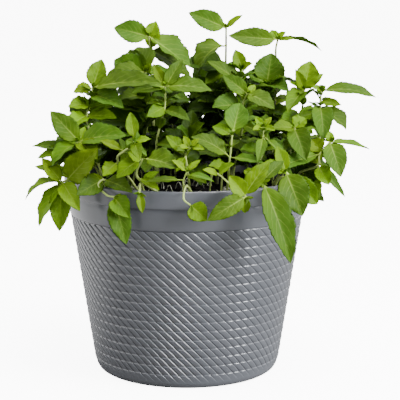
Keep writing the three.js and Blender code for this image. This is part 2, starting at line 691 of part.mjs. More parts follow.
// A leaf may touch its own stem and the leaves beside it only at its root, and it keeps clear of
// everything else that is already in place.
function isClear(stem, thin, wide) {
  return placed.every((other) => {
    if (!wide.box.intersectsBox(other.box)) return true;
    if (other.owner !== stem) return wide.solid.intersect(other.solid).isEmpty();
    return thin.solid.intersect(other.solid).volume() < ROOT_TOUCH;
  });
}

// The free seats of a station, the ones that look the leaf's way first.
function freeSeats(stem, station, tip) {
  const direction = tip.clone().sub(stem.line.at(station)).normalize();
  return stem.seats
    .filter((seat) => seat.station === station && !seat.leaf)
    .map((seat) => {
      const corners = stem.faces[seat.face].map((i) => stem.points[i]);
      const first = corners[1].clone().sub(corners[0]);
      const normal = first.cross(corners[3].clone().sub(corners[0])).normalize();
      return { seat, corners, fit: normal.dot(direction) };
    })
    .filter(({ fit }) => fit > SEAT_FIT)
    .sort((a, b) => b.fit - a.fit);
}

// Whether no edge of a blade passes through one of its own triangles.
function isSimple({ points, size }) {
  const ray = new THREE.Ray();
  const hit = vector(0, 0, 0);
  const passes = (start, end) => {
    const length = points[start].distanceTo(points[end]);
    ray.origin.copy(points[start]);
    ray.direction.copy(points[end]).sub(points[start]).divideScalar(length);
    return TRIANGLES[size].some((corners) => {
      if (corners.includes(start) || corners.includes(end)) return false;
      const [a, b, c] = corners.map((i) => points[i]);
      return ray.intersectTriangle(a, b, c, false, hit) !== null && hit.distanceTo(ray.origin) < length;
    });
  };
  return TRIANGLES[size].every(([a, b, c]) => !passes(a, b) && !passes(b, c) && !passes(c, a));
}

// A leaf keeps the first of its tries that is clear of everything in place.
function addLeaf(stem, station, tries) {
  for (const leaf of tries) {
    for (const { seat, corners } of freeSeats(stem, station, leaf.tip)) {
      const thin = bladeSolid(corners, leaf, 0);
      if (isSimple(thin) && isClear(stem, thin, bladeSolid(corners, leaf, CLEARANCE))) {
        seat.leaf = thin;
        stem.leaves.push(thin);
        hold(stem, thin.solid);
        return;
      }
    }
  }
}

// The stem and its leaves as one skin: a leaf takes the place of the face that it grows from.
function leafyStem(stem) {
  const points = [...stem.points];
  const triangles = [];
  const blades = new Map(stem.seats.filter(({ leaf }) => leaf).map(({ face, leaf }) => [face, leaf]));
  stem.faces.forEach((face, i) => {
    const leaf = blades.get(i);
    if (!leaf) {
      triangles.push([face[0], face[1], face[2]], [face[0], face[2], face[3]]);
      return;
    }
    const start = points.length;
    points.push(...leaf.points.slice(4));
    const number = (k) => (k < 4 ? face[leaf.corners[k]] : start + k - 4);
    triangles.push(...TRIANGLES[leaf.size].map((triangle) => triangle.map(number)));
  });
  return { points, triangles };
}

function frontTries([, x, y, z, width, arch, look]) {
  return FRONT_TRIES.map(([across, back, rise]) => ({
    tip: vector(x + across, y + back, z + rise),
    width,
    arch,
    faces: vector(...FACES[look]),
  }));
}

// A leaf of a rule-made pair stands out from its stem at an angle, and the older ones droop.
// Each pair is a quarter turn on from the one below it.
function pairTries(line, pair, seed, order, hand) {
  const base = line.at(pair.station);
  const heading = line.heading(pair.station);
  const about = (k, spread) => spread * (chance(seed, order, k) - 0.5);
  const turn = 90 * order + 180 * hand + about(1, RULE_LEAF.turnSpread);
  const outward = vector(line.root[0], line.root[1], 0).normalize();
  const level = outward.clone().addScaledVector(heading, -outward.dot(heading)).normalize();
  return RULE_TRIES.map(([extraTurn, extraRise, scale]) => {
    const length = pair.length * scale * (1 + about(2 + hand, RULE_LEAF.lengthSpread));
    const rise = radians(pair.rise + extraRise + about(4 + hand, RULE_LEAF.riseSpread));
    const direction = level.clone().applyAxisAngle(heading, radians(turn + extraTurn));
    direction.multiplyScalar(Math.cos(rise)).addScaledVector(heading, Math.sin(rise));
    direction.z -= pair.droop;
    direction.normalize();
    return {
      tip: base.clone().addScaledVector(direction, length),
      width: length * RULE_LEAF.width,
      arch: RULE_LEAF.arch,
      faces: heading.clone().addScaledVector(outward, 0.5).setZ(heading.z + 0.6),
    };
  });
}

function hasInnerPair(nodes) {
  return nodes[0][2] >= INNER_FROM_HEIGHT;
}

// The nodes of a back stem: up from its root, then over towards its tip.
function backLine(ring, index) {
  const share = index / (ring.count - 1);
  const azimuth = radians(ring.from + (ring.to - ring.from) * share + 8 * (chance(ring.root, index, 1) - 0.5));
  const reach = ring.reachEnds + (ring.reachMiddle - ring.reachEnds) * Math.sin(Math.PI * share);
  const rise = ring.top + 12 * (chance(ring.root, index, 2) - 0.5) - SOIL_TOP;
  const node = (out, up) => {
    const r = ring.root + (reach - ring.root) * out;
    return [r * Math.cos(azimuth), r * Math.sin(azimuth), SOIL_TOP + rise * up];
  };
  const root = [ring.root * Math.cos(azimuth), ring.root * Math.sin(azimuth)];
  return stemLine(root, [node(0.22, 0.52), node(0.6, 0.88), node(1, 1)]);
}

const pot = potMesh();
FRONT_STEMS.forEach(([name, root, nodes, leaves]) => {
  const stations = leaves.map(([station]) => station);
  if (hasInnerPair(nodes)) stations.push(INNER_PAIR.station, INNER_PAIR.station);
  stems.push(growStem(name, stemLine(root, nodes), stations));
});
BACK_RINGS.forEach((ring) => {
  for (let i = 0; i < ring.count; i += 1) {
    const stations = BACK_PAIRS.flatMap(({ station }) => [station, station]);
    stems.push(growStem(`${ring.name}_${i + 1}`, backLine(ring, i), stations));
  }
});
const soil = soilSolid(stems.map((stem) => stem.line.root));

hold(null, solidOf(pot.points, pot.triangles));
hold(null, soil);
stems.forEach((stem) => hold(stem, stem.solid));
FRONT_STEMS.forEach(([, , , leaves], i) => {
  leaves.forEach((leaf) => addLeaf(stems[i], leaf[0], frontTries(leaf)));
});
stems.forEach((stem, i) => {
  const front = FRONT_STEMS[i];
  const pairs = front ? [INNER_PAIR].filter(() => hasInnerPair(front[2])) : BACK_PAIRS;
  pairs.forEach((pair, order) => {
    [0, 1].forEach((hand) => addLeaf(stem, pair.station, pairTries(stem.line, pair, i + 1, order, hand)));
  });
});

// ---------------------------------------------------------------- the finished group

const plant = new THREE.Group();
plant.add(meshOf("pot", pot, COLOURS.pot, 0.5));
plant.add(meshOf("soil", skinOf(soil), COLOURS.soil, 1));
stems.forEach((stem, i) => {
  const mesh = meshOf(`stem_${stem.name}`, leafyStem(stem), i % 2 ? COLOURS.young : COLOURS.mature, 0.6);
  mesh.userData.leaves = stem.leaves.length;
  plant.add(mesh);
});

export default plant;
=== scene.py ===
# %% [markdown]
# # A potted mint plant
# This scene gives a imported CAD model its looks: a grey planter with a woven relief, dark soil, and
# forty-eight leafy stems of mint. The CAD pieces say where everything is and how large it is. They have
# few faces: their leaves have no veins, and the tiles on their planter are larger than the real ones. So
# each piece is replaced here by a finer surface of the same form, built from formulas.
#
# Lengths in the tables are millimetres, as in the CAD source, and are turned to metres at the end.
# The origin is the middle of the pot's flat underside, +Z is up and -Y is the front.

import bpy
import numpy as np
from mathutils import Matrix


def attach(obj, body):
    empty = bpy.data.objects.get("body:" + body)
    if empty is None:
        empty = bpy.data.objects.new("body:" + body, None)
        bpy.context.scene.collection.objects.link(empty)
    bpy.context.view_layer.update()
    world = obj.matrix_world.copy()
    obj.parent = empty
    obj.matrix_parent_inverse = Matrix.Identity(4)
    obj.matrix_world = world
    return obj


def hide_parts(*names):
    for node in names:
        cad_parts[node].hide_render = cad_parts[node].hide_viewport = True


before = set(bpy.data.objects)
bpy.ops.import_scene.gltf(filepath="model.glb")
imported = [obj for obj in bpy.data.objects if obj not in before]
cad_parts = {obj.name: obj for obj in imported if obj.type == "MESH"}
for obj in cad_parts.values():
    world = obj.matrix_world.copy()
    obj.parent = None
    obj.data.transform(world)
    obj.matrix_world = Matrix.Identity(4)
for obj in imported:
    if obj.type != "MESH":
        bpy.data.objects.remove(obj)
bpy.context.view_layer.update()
MM = 0.001


print("CAD nodes:", len(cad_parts))

# %% [markdown]
# ## Grids of points
# Pot, soil, stems and leaves are all made in one way: rows of closed loops of points, joined by quads and
# closed at either end by a fan of triangles. Box modelling or sculpting could give such forms too, but a
# grid that numpy works out at once is quick to make, and each leaf can differ from the next. Nothing
# here is drawn at random. Chance is a fixed function of three seeds, so each run grows the same plant.


# %% Helpers for the grids
def unit(v):
    """The vector, or each row of vectors, divided by its length."""
    v = np.asarray(v, float)
    return v / np.linalg.norm(v, axis=-1, keepdims=True)


def chance(a, b, c):
    """A number between 0 and 1 that depends only on its three seeds: what is left behind the point of
    a large multiple of the sine of their weighted sum."""
    x = np.sin(a * 12.9898 + b * 78.233 + c * 37.719) * 43758.5453
    return x - np.floor(x)


def ease(value, start, end):
    """0 before the start, 1 past the end, and a smooth rise between, also where the end is lower."""
    t = np.clip((value - start) / (end - start), 0, 1)
    return t * t * (3 - 2 * t)


def between(low, high, share):
    """The value that lies a share of the way from the low one to the high one."""
    return low + (high - low) * share


def full_turn(sides):
    """The angles of points spread evenly round a circle."""
    return 2 * np.pi * np.arange(sides) / sides


def circle(radius, z, angle):
    """Points at a height, out from the axis by a radius: its cosine share along X, its sine along Y."""
    return np.stack([radius * np.cos(angle), radius * np.sin(angle), np.broadcast_to(z, angle.shape)], -1)


def loops_to_faces(rows, sides):
    """Quads between rows of closed loops, and fans from a first and a last pole.
    Points are numbered row by row, then the first pole, then the last one."""
    row = np.arange(rows - 1)[:, None] * sides
    here = np.arange(sides)[None, :]
    beside = (here + 1) % sides
    corners = [row + here, row + beside, row + sides + beside, row + sides + here]
    start = rows * sides
    end = start + 1
    low = np.stack([np.full(sides, start), beside[0], here[0]], -1)
    top = (rows - 1) * sides
    high = np.stack([np.full(sides, end), top + here[0], top + beside[0]], -1)
    return np.stack(corners, -1).reshape(-1, 4), np.concatenate([low, high])


# %% A piece made of grids
class Shape:
    """Collects the points and faces of one piece, each face's material and values on the points."""

    def __init__(self):
        self.points = []
        self.quads = []
        self.triangles = []
        self.quad_materials = []
        self.triangle_materials = []
        self.values = {}
        self.count = 0

    def add(self, points, quads, triangles, material=0, **values):
        """Adds a grid. Its faces number its own points from 0 and all have one material."""
        self.points.append(points)
        self.quads.append(quads + self.count)
        self.triangles.append(triangles + self.count)
        self.quad_materials.append(np.full(len(quads), material))
        self.triangle_materials.append(np.full(len(triangles), material))
        for name, value in values.items():
            value = np.asarray(value, np.float32)
            self.values.setdefault(name, []).append(value)
        self.count += len(points)

    def build(self, name, *materials):
        """Makes the Blender object. The points are given in millimetres."""
        points = np.concatenate(self.points) * MM
        quads = np.concatenate(self.quads)
        triangles = np.concatenate(self.triangles)
        mesh = bpy.data.meshes.new(name)
        mesh.vertices.add(len(points))
        mesh.vertices.foreach_set("co", points.astype(np.float32).ravel())
        corners = np.concatenate([quads.ravel(), triangles.ravel()])
        sizes = np.concatenate([np.full(len(quads), 4), np.full(len(triangles), 3)])
        mesh.loops.add(len(corners))
        mesh.loops.foreach_set("vertex_index", corners.astype(np.int32))
        mesh.polygons.add(len(sizes))
        mesh.polygons.foreach_set("loop_start", (np.cumsum(sizes) - sizes).astype(np.int32))
        mesh.update(calc_edges=True)
        mesh.validate()
        mesh.polygons.foreach_set("use_smooth", np.ones(len(sizes), bool))
        for material in materials:
            mesh.materials.append(material)
        index = np.concatenate(self.quad_materials + self.triangle_materials)
        mesh.polygons.foreach_set("material_index", index.astype(np.int32))
        for key, parts in self.values.items():
            data = np.concatenate(parts)
            if key == "uv":
                layer = mesh.uv_layers.new(name="leaf_map")
                layer.data.foreach_set("uv", data[corners].ravel())
            else:
                attribute = mesh.attributes.new(key, "FLOAT_COLOR", "POINT")
                attribute.data.foreach_set("color", data.ravel())
        thing = bpy.data.objects.new(name, mesh)
        bpy.context.scene.collection.objects.link(thing)
        return thing


def keep(thing, node):
    """Puts a finished piece on the frame, in place of the CAD node that it stands for."""
    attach(thing, "root")
    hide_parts(node)


# %% [markdown]
# ## The planter
# The real planter is one moulded piece of grey plastic: a tapered wall with a woven relief, a plain band
# above it and a rolled rim. The weave could be a bump map, but its ridges catch the light one by one, so
# they are real faces here.
#
# A profile is turned round the axis. In the woven zone the columns of points lean a little more than one
# tile to the left for each row that they rise, and each tile is a pad with a groove round it. The points
# stand close together in the grooves, so the edges are crisp with few faces.

# %% The planter's sizes
# Profiles hold a radius and a height for each point.
FOOT_PROFILE = [
    (60, 0.8), (86, 0.8), (86.6, 0), (88.6, 0), (90.2, 0.4), (92, 1.5), (93.3, 2.8), (94.2, 4.4),
]
WALL_PROFILE = [(95, 5.6), (96, 8.8), (97, 13), (120.5, 166)]
RIM_PROFILE = [
    (119.9, 165.3), (120.6, 165.7), (121.1, 166.3), (121.4, 167.4), (122.2, 173), (123.2, 181), (123.8, 187),
    (123.4, 188), (125.4, 188.2), (126.3, 188.6), (126.6, 189.4), (126.7, 192), (126.9, 198), (127, 203.2),
    (126.8, 204.6), (126.3, 205.6), (125.5, 206), (124.6, 205.9), (124, 205.3), (123.7, 204), (123.2, 198),
    (122.2, 191), (121.6, 188.5), (108, 100), (95, 16), (89, 4.2), (40, 3.4),
]
INSIDE_FLOOR = 3.4
# The heights between which the wall is woven, and how many tiles a column leans for each row it rises.
WOVEN = (5.8, 165)
TILE_COLUMNS = 76
TILE_ROWS = 17
TILE_LEAN = 1.08
# The groove's depth and the pad's height. Above the foot they grow to that over some rows.
GROOVE = 0.85
PAD = 0.5
FADE_ROWS = 1.2
# Places across a tile and up it, as shares of its size, and the share of the pad's height at each.
ACROSS = np.array([0, 0.06, 0.14, 0.46, 0.76, 0.88, 0.95])
PAD_ACROSS = np.array([0, 0.42, 0.58, 0.84, 1.0, 1.02, 0.6])
UP = np.array([0, 0.07, 0.2, 0.45, 0.74, 0.91, 0.97])
PAD_UP = np.array([0.5, 0.54, 0.64, 0.84, 0.98, 1.0, 0.86])
# How far the points have leaned at each place up a tile, as a share of the lean of a whole row.
LEANED = np.array([0, 0.06, 0.18, 0.42, 0.72, 0.9, 0.97])
print("tiles:", TILE_COLUMNS * TILE_ROWS, "and each has", len(ACROSS) * len(UP), "points")


# %% The planter's shape
def wall_radius(z):
    """The wall's radius at a height: straight lines between the points of its profile."""
    radii, heights = zip(*WALL_PROFILE)
    return np.interp(z, heights, radii)


def woven_pot():
    """The radius in the woven zone is the wall's, less a groove, plus a pad. The pad's height is a
    product of two bumps: across the tile it swells from its left edge to a round ridge at its right
    edge and drops into the groove, and up the tile it does the same towards its top edge."""
    column = (np.arange(TILE_COLUMNS)[:, None] + ACROSS).ravel()
    pads_across = np.tile(PAD_ACROSS, TILE_COLUMNS)
    no_groove = np.zeros(len(column))
    row_height = (WOVEN[1] - WOVEN[0]) / TILE_ROWS
    top_lean = TILE_LEAN * TILE_ROWS
    # Each ring: its radius, its height, how many tiles it has leaned and how deep in a groove it lies.
    rings = [(radius, z, 0, no_groove) for radius, z in FOOT_PROFILE]
    for row in range(TILE_ROWS):
        for share, pad, leaned in zip(UP, PAD_UP, LEANED):
            z = WOVEN[0] + row_height * (row + share)
            fade = ease(row + share, 0, FADE_ROWS)
            relief = (GROOVE + PAD) * pad * pads_across - GROOVE
            depth = np.clip(1 - pad * pads_across, 0, 1) * fade
            rings.append((wall_radius(z) + relief * fade, z, TILE_LEAN * (row + leaned), depth))
    rings.append((wall_radius(WOVEN[1]) - GROOVE, WOVEN[1], top_lean, no_groove + 1))
    rings += [(radius, z, top_lean, no_groove) for radius, z in RIM_PROFILE]
    points = []
    depths = []
    for radius, z, lean, depth in rings:
        points.append(circle(radius, z, 2 * np.pi * (column - lean) / TILE_COLUMNS))
        depths.append(depth)
    points = np.concatenate([*points, [(0, 0, 0), (0, 0, INSIDE_FLOOR)]])
    depth = np.concatenate([*depths, (0, 0)])
    shape = Shape()
    faces = loops_to_faces(len(rings), len(column))
    shape.add(points, *faces, groove_depth=np.stack([depth] * 4, -1))
    return shape


pot_shape = woven_pot()
print("planter points:", pot_shape.count)

# %% [markdown]
# ## The soil
# The mint stands in dark potting soil, a little below the rim. A flat disc would look like a lid, and a
# bump map would leave its edge straight, so the disc itself is heaved by waves of several lengths. Loose
# crumbs and pale root threads lie on it, and each is a small closed grid of its own.

# %% The soil's surface
SOIL_TOP = 190
SOIL_UNDERSIDE = 4.6
SOIL_RADIUS = 120.6
# Where the soil meets the pot's wall: a radius and a height for each point.
SOIL_WALL = [(88, SOIL_UNDERSIDE), (93.6, 13), (120.2, 185)]
SOIL_SIDES = 220
EDGE_RINGS = 10
SOIL_RINGS = 80
# The edge drops by this much over this share of the radius, and further in the rings are wider apart.
EDGE_DROP = 3.2
EDGE_WIDTH = 0.07
INNER_SHARES = (0.92, 0.01)


def soil_height(x, y):
    """Height of the soil's surface: a sum of crossing waves whose length halves as their height does."""
    z = 0
    for k in range(7):
        turn = 2 * np.pi * chance(k, 3, 9)
        wave = 0.055 * 1.72**k
        u = (x * np.cos(turn) + y * np.sin(turn)) * wave + 6 * chance(k, 1, 2)
        v = (y * np.cos(turn) - x * np.sin(turn)) * wave + 6 * chance(k, 5, 4)
        z = z + 1.5 / 1.45**k * np.sin(u + 1.4 * np.sin(v)) * np.sin(v + 0.7)
    return SOIL_TOP + z


def soil_surface():
    """Rings of points up the pot's wall, over the edge and in to the middle, closed below. The edge is
    rounded: it drops by a smooth step of the distance from the wall."""
    angle = full_turn(SOIL_SIDES)
    rings = [circle(radius, z, angle) for radius, z in SOIL_WALL]
    edge = np.linspace(1, 1 - EDGE_WIDTH, EDGE_RINGS)
    for share in (*edge, *np.linspace(*INNER_SHARES, SOIL_RINGS)):
        ring = circle(SOIL_RADIUS * share, 0.0, angle)
        drop = EDGE_DROP * ease(share, 1 - EDGE_WIDTH, 1)
        ring[:, 2] = soil_height(ring[:, 0], ring[:, 1]) - drop
        rings.append(ring)
    poles = [(0, 0, SOIL_UNDERSIDE), (0, 0, soil_height(0.0, 0.0))]
    shape = Shape()
    shape.add(np.concatenate([*rings, poles]), *loops_to_faces(len(rings), SOIL_SIDES))
    return shape


soil_shape = soil_surface()
print("soil points:", soil_shape.count)

# %% Crumbs
CRUMBS = 420
CRUMB_SIZES = (0.8, 3)
CRUMB_FLATNESS = np.array([1, 0.8, 0.6])
LITTER_REACH = 116


def crumb(shape, centre, size, seed):
    """A lump of soil: a flattened ball whose radius varies with direction, as a sum of two waves."""
    sides = 7
    rows = 4
    tilt = np.pi * (np.arange(rows) + 1) / (rows + 1)
    angle = full_turn(sides)
    ball = np.stack([
        np.sin(tilt)[:, None] * np.cos(angle), np.sin(tilt)[:, None] * np.sin(angle),
        -np.cos(tilt)[:, None] * np.ones(sides),
    ], -1).reshape(-1, 3)
    ball = np.concatenate([ball, [(0, 0, -1), (0, 0, 1)]])
    rough = 1 + 0.25 * np.sin(5 * ball[:, 0] + 7 * seed) * np.cos(4 * ball[:, 1] + 3 * seed)
    rough = rough + 0.12 * np.sin(9 * ball[:, 2] + seed)
    shape.add(centre + ball * rough[:, None] * size * CRUMB_FLATNESS, *loops_to_faces(rows, sides))


for k in range(CRUMBS):
    distance = LITTER_REACH * np.sqrt(chance(k, 11, 2))
    azimuth = 2 * np.pi * chance(k, 12, 5)
    x = distance * np.cos(azimuth)
    y = distance * np.sin(azimuth)
    size = between(*CRUMB_SIZES, chance(k, 13, 7) ** 3)
    crumb(soil_shape, np.array([x, y, soil_height(x, y) + 0.25 * size]), size, k)
print("with", CRUMBS, "crumbs, soil points:", soil_shape.count)

# %% Root threads
THREADS = 34
THREAD_RADIUS = 0.5
THREAD_SWAY = 0.12
THREAD_HEIGHT = 191.0
# Where threads start, across and back, then how long they are and how high they arch.
THREADS_X = (-60, 80)
THREADS_Y = (-58, 12)
THREAD_LENGTHS = (5, 14)
THREAD_LIFTS = (2, 9)


def root_thread(shape, start, end, lift, seed):
    """A thin tube from one point of the soil to another. It rises between them as half a sine wave,
    sways to the side as a whole one and gets thinner towards its end."""
    rows = 9
    sides = 6
    t = np.linspace(0, 1, rows)[:, None]
    side = unit(np.cross(end - start, (0, 0, 1)))
    line = start + (end - start) * t + np.array([0, 0, lift]) * np.sin(np.pi * t)
    line = line + side * THREAD_SWAY * np.linalg.norm(end - start) * np.sin(2 * np.pi * t + 6 * seed)
    heading = unit(np.gradient(line, axis=0))
    across = unit(np.cross(heading, (0.31, 0.2, 1)))[:, None]
    beside = np.cross(heading, across[:, 0])[:, None]
    angle = full_turn(sides)[None, :, None]
    radius = THREAD_RADIUS * (1 - 0.4 * t)[:, :, None]
    loops = line[:, None] + radius * (np.cos(angle) * across + np.sin(angle) * beside)
    points = np.concatenate([loops.reshape(-1, 3), line[:1], line[-1:]])
    shape.add(points, *loops_to_faces(rows, sides), material=1)


for k in range(THREADS):
    x = between(*THREADS_X, chance(k, 14, 2))
    y = between(*THREADS_Y, chance(k, 15, 5))
    turn = 2 * np.pi * chance(k, 16, 7)
    start = np.array([x, y, THREAD_HEIGHT])
    end = start + between(*THREAD_LENGTHS, chance(k, 17, 3)) * np.array([np.cos(turn), 0.6 * np.sin(turn), 0])
    if np.hypot(end[0], end[1]) < LITTER_REACH:
        root_thread(soil_shape, start, end, between(*THREAD_LIFTS, chance(k, 18, 4)), chance(k, 19, 1))
print("with root threads, soil points:", soil_shape.count)

# %% [markdown]
# ## The stems and where their leaves are
# Mint grows many square stems from the soil, with leaves in pairs. Each stem could be a copy of one model,
# but in the photo no two are alike, so those at the front are written down one by one, and those behind
# them follow a rule.
#
# The tables are those of the CAD source. A stem stands straight out of the soil and then follows a
# Catmull-Rom curve through its nodes. The CAD source tries each leaf in a few places and keeps the
# first that is clear of its neighbours, or drops it. Here the same places are worked out, and the one
# whose tip has vertices of the CAD piece beside it is the one that was kept.

# %% The stems at the front
# The ways that the upper face of a leaf can look.
FACES = {
    "front": (0, -1, 0.3),
    "mid": (0, -0.7, 0.7),
    "up": (0, -0.2, 1),
    "edge": (0, 0.16, 1),
    "back": (0, 0.6, 0.6),
    "left": (-0.6, -0.6, 0.5),
    "leftUp": (-0.5, -0.6, 0.8),
    "leftFront": (-0.5, -1, 0.2),
    "rightUp": (0.4, -0.6, 0.8),
    "rightFront": (0.35, -1, 0.2),
}
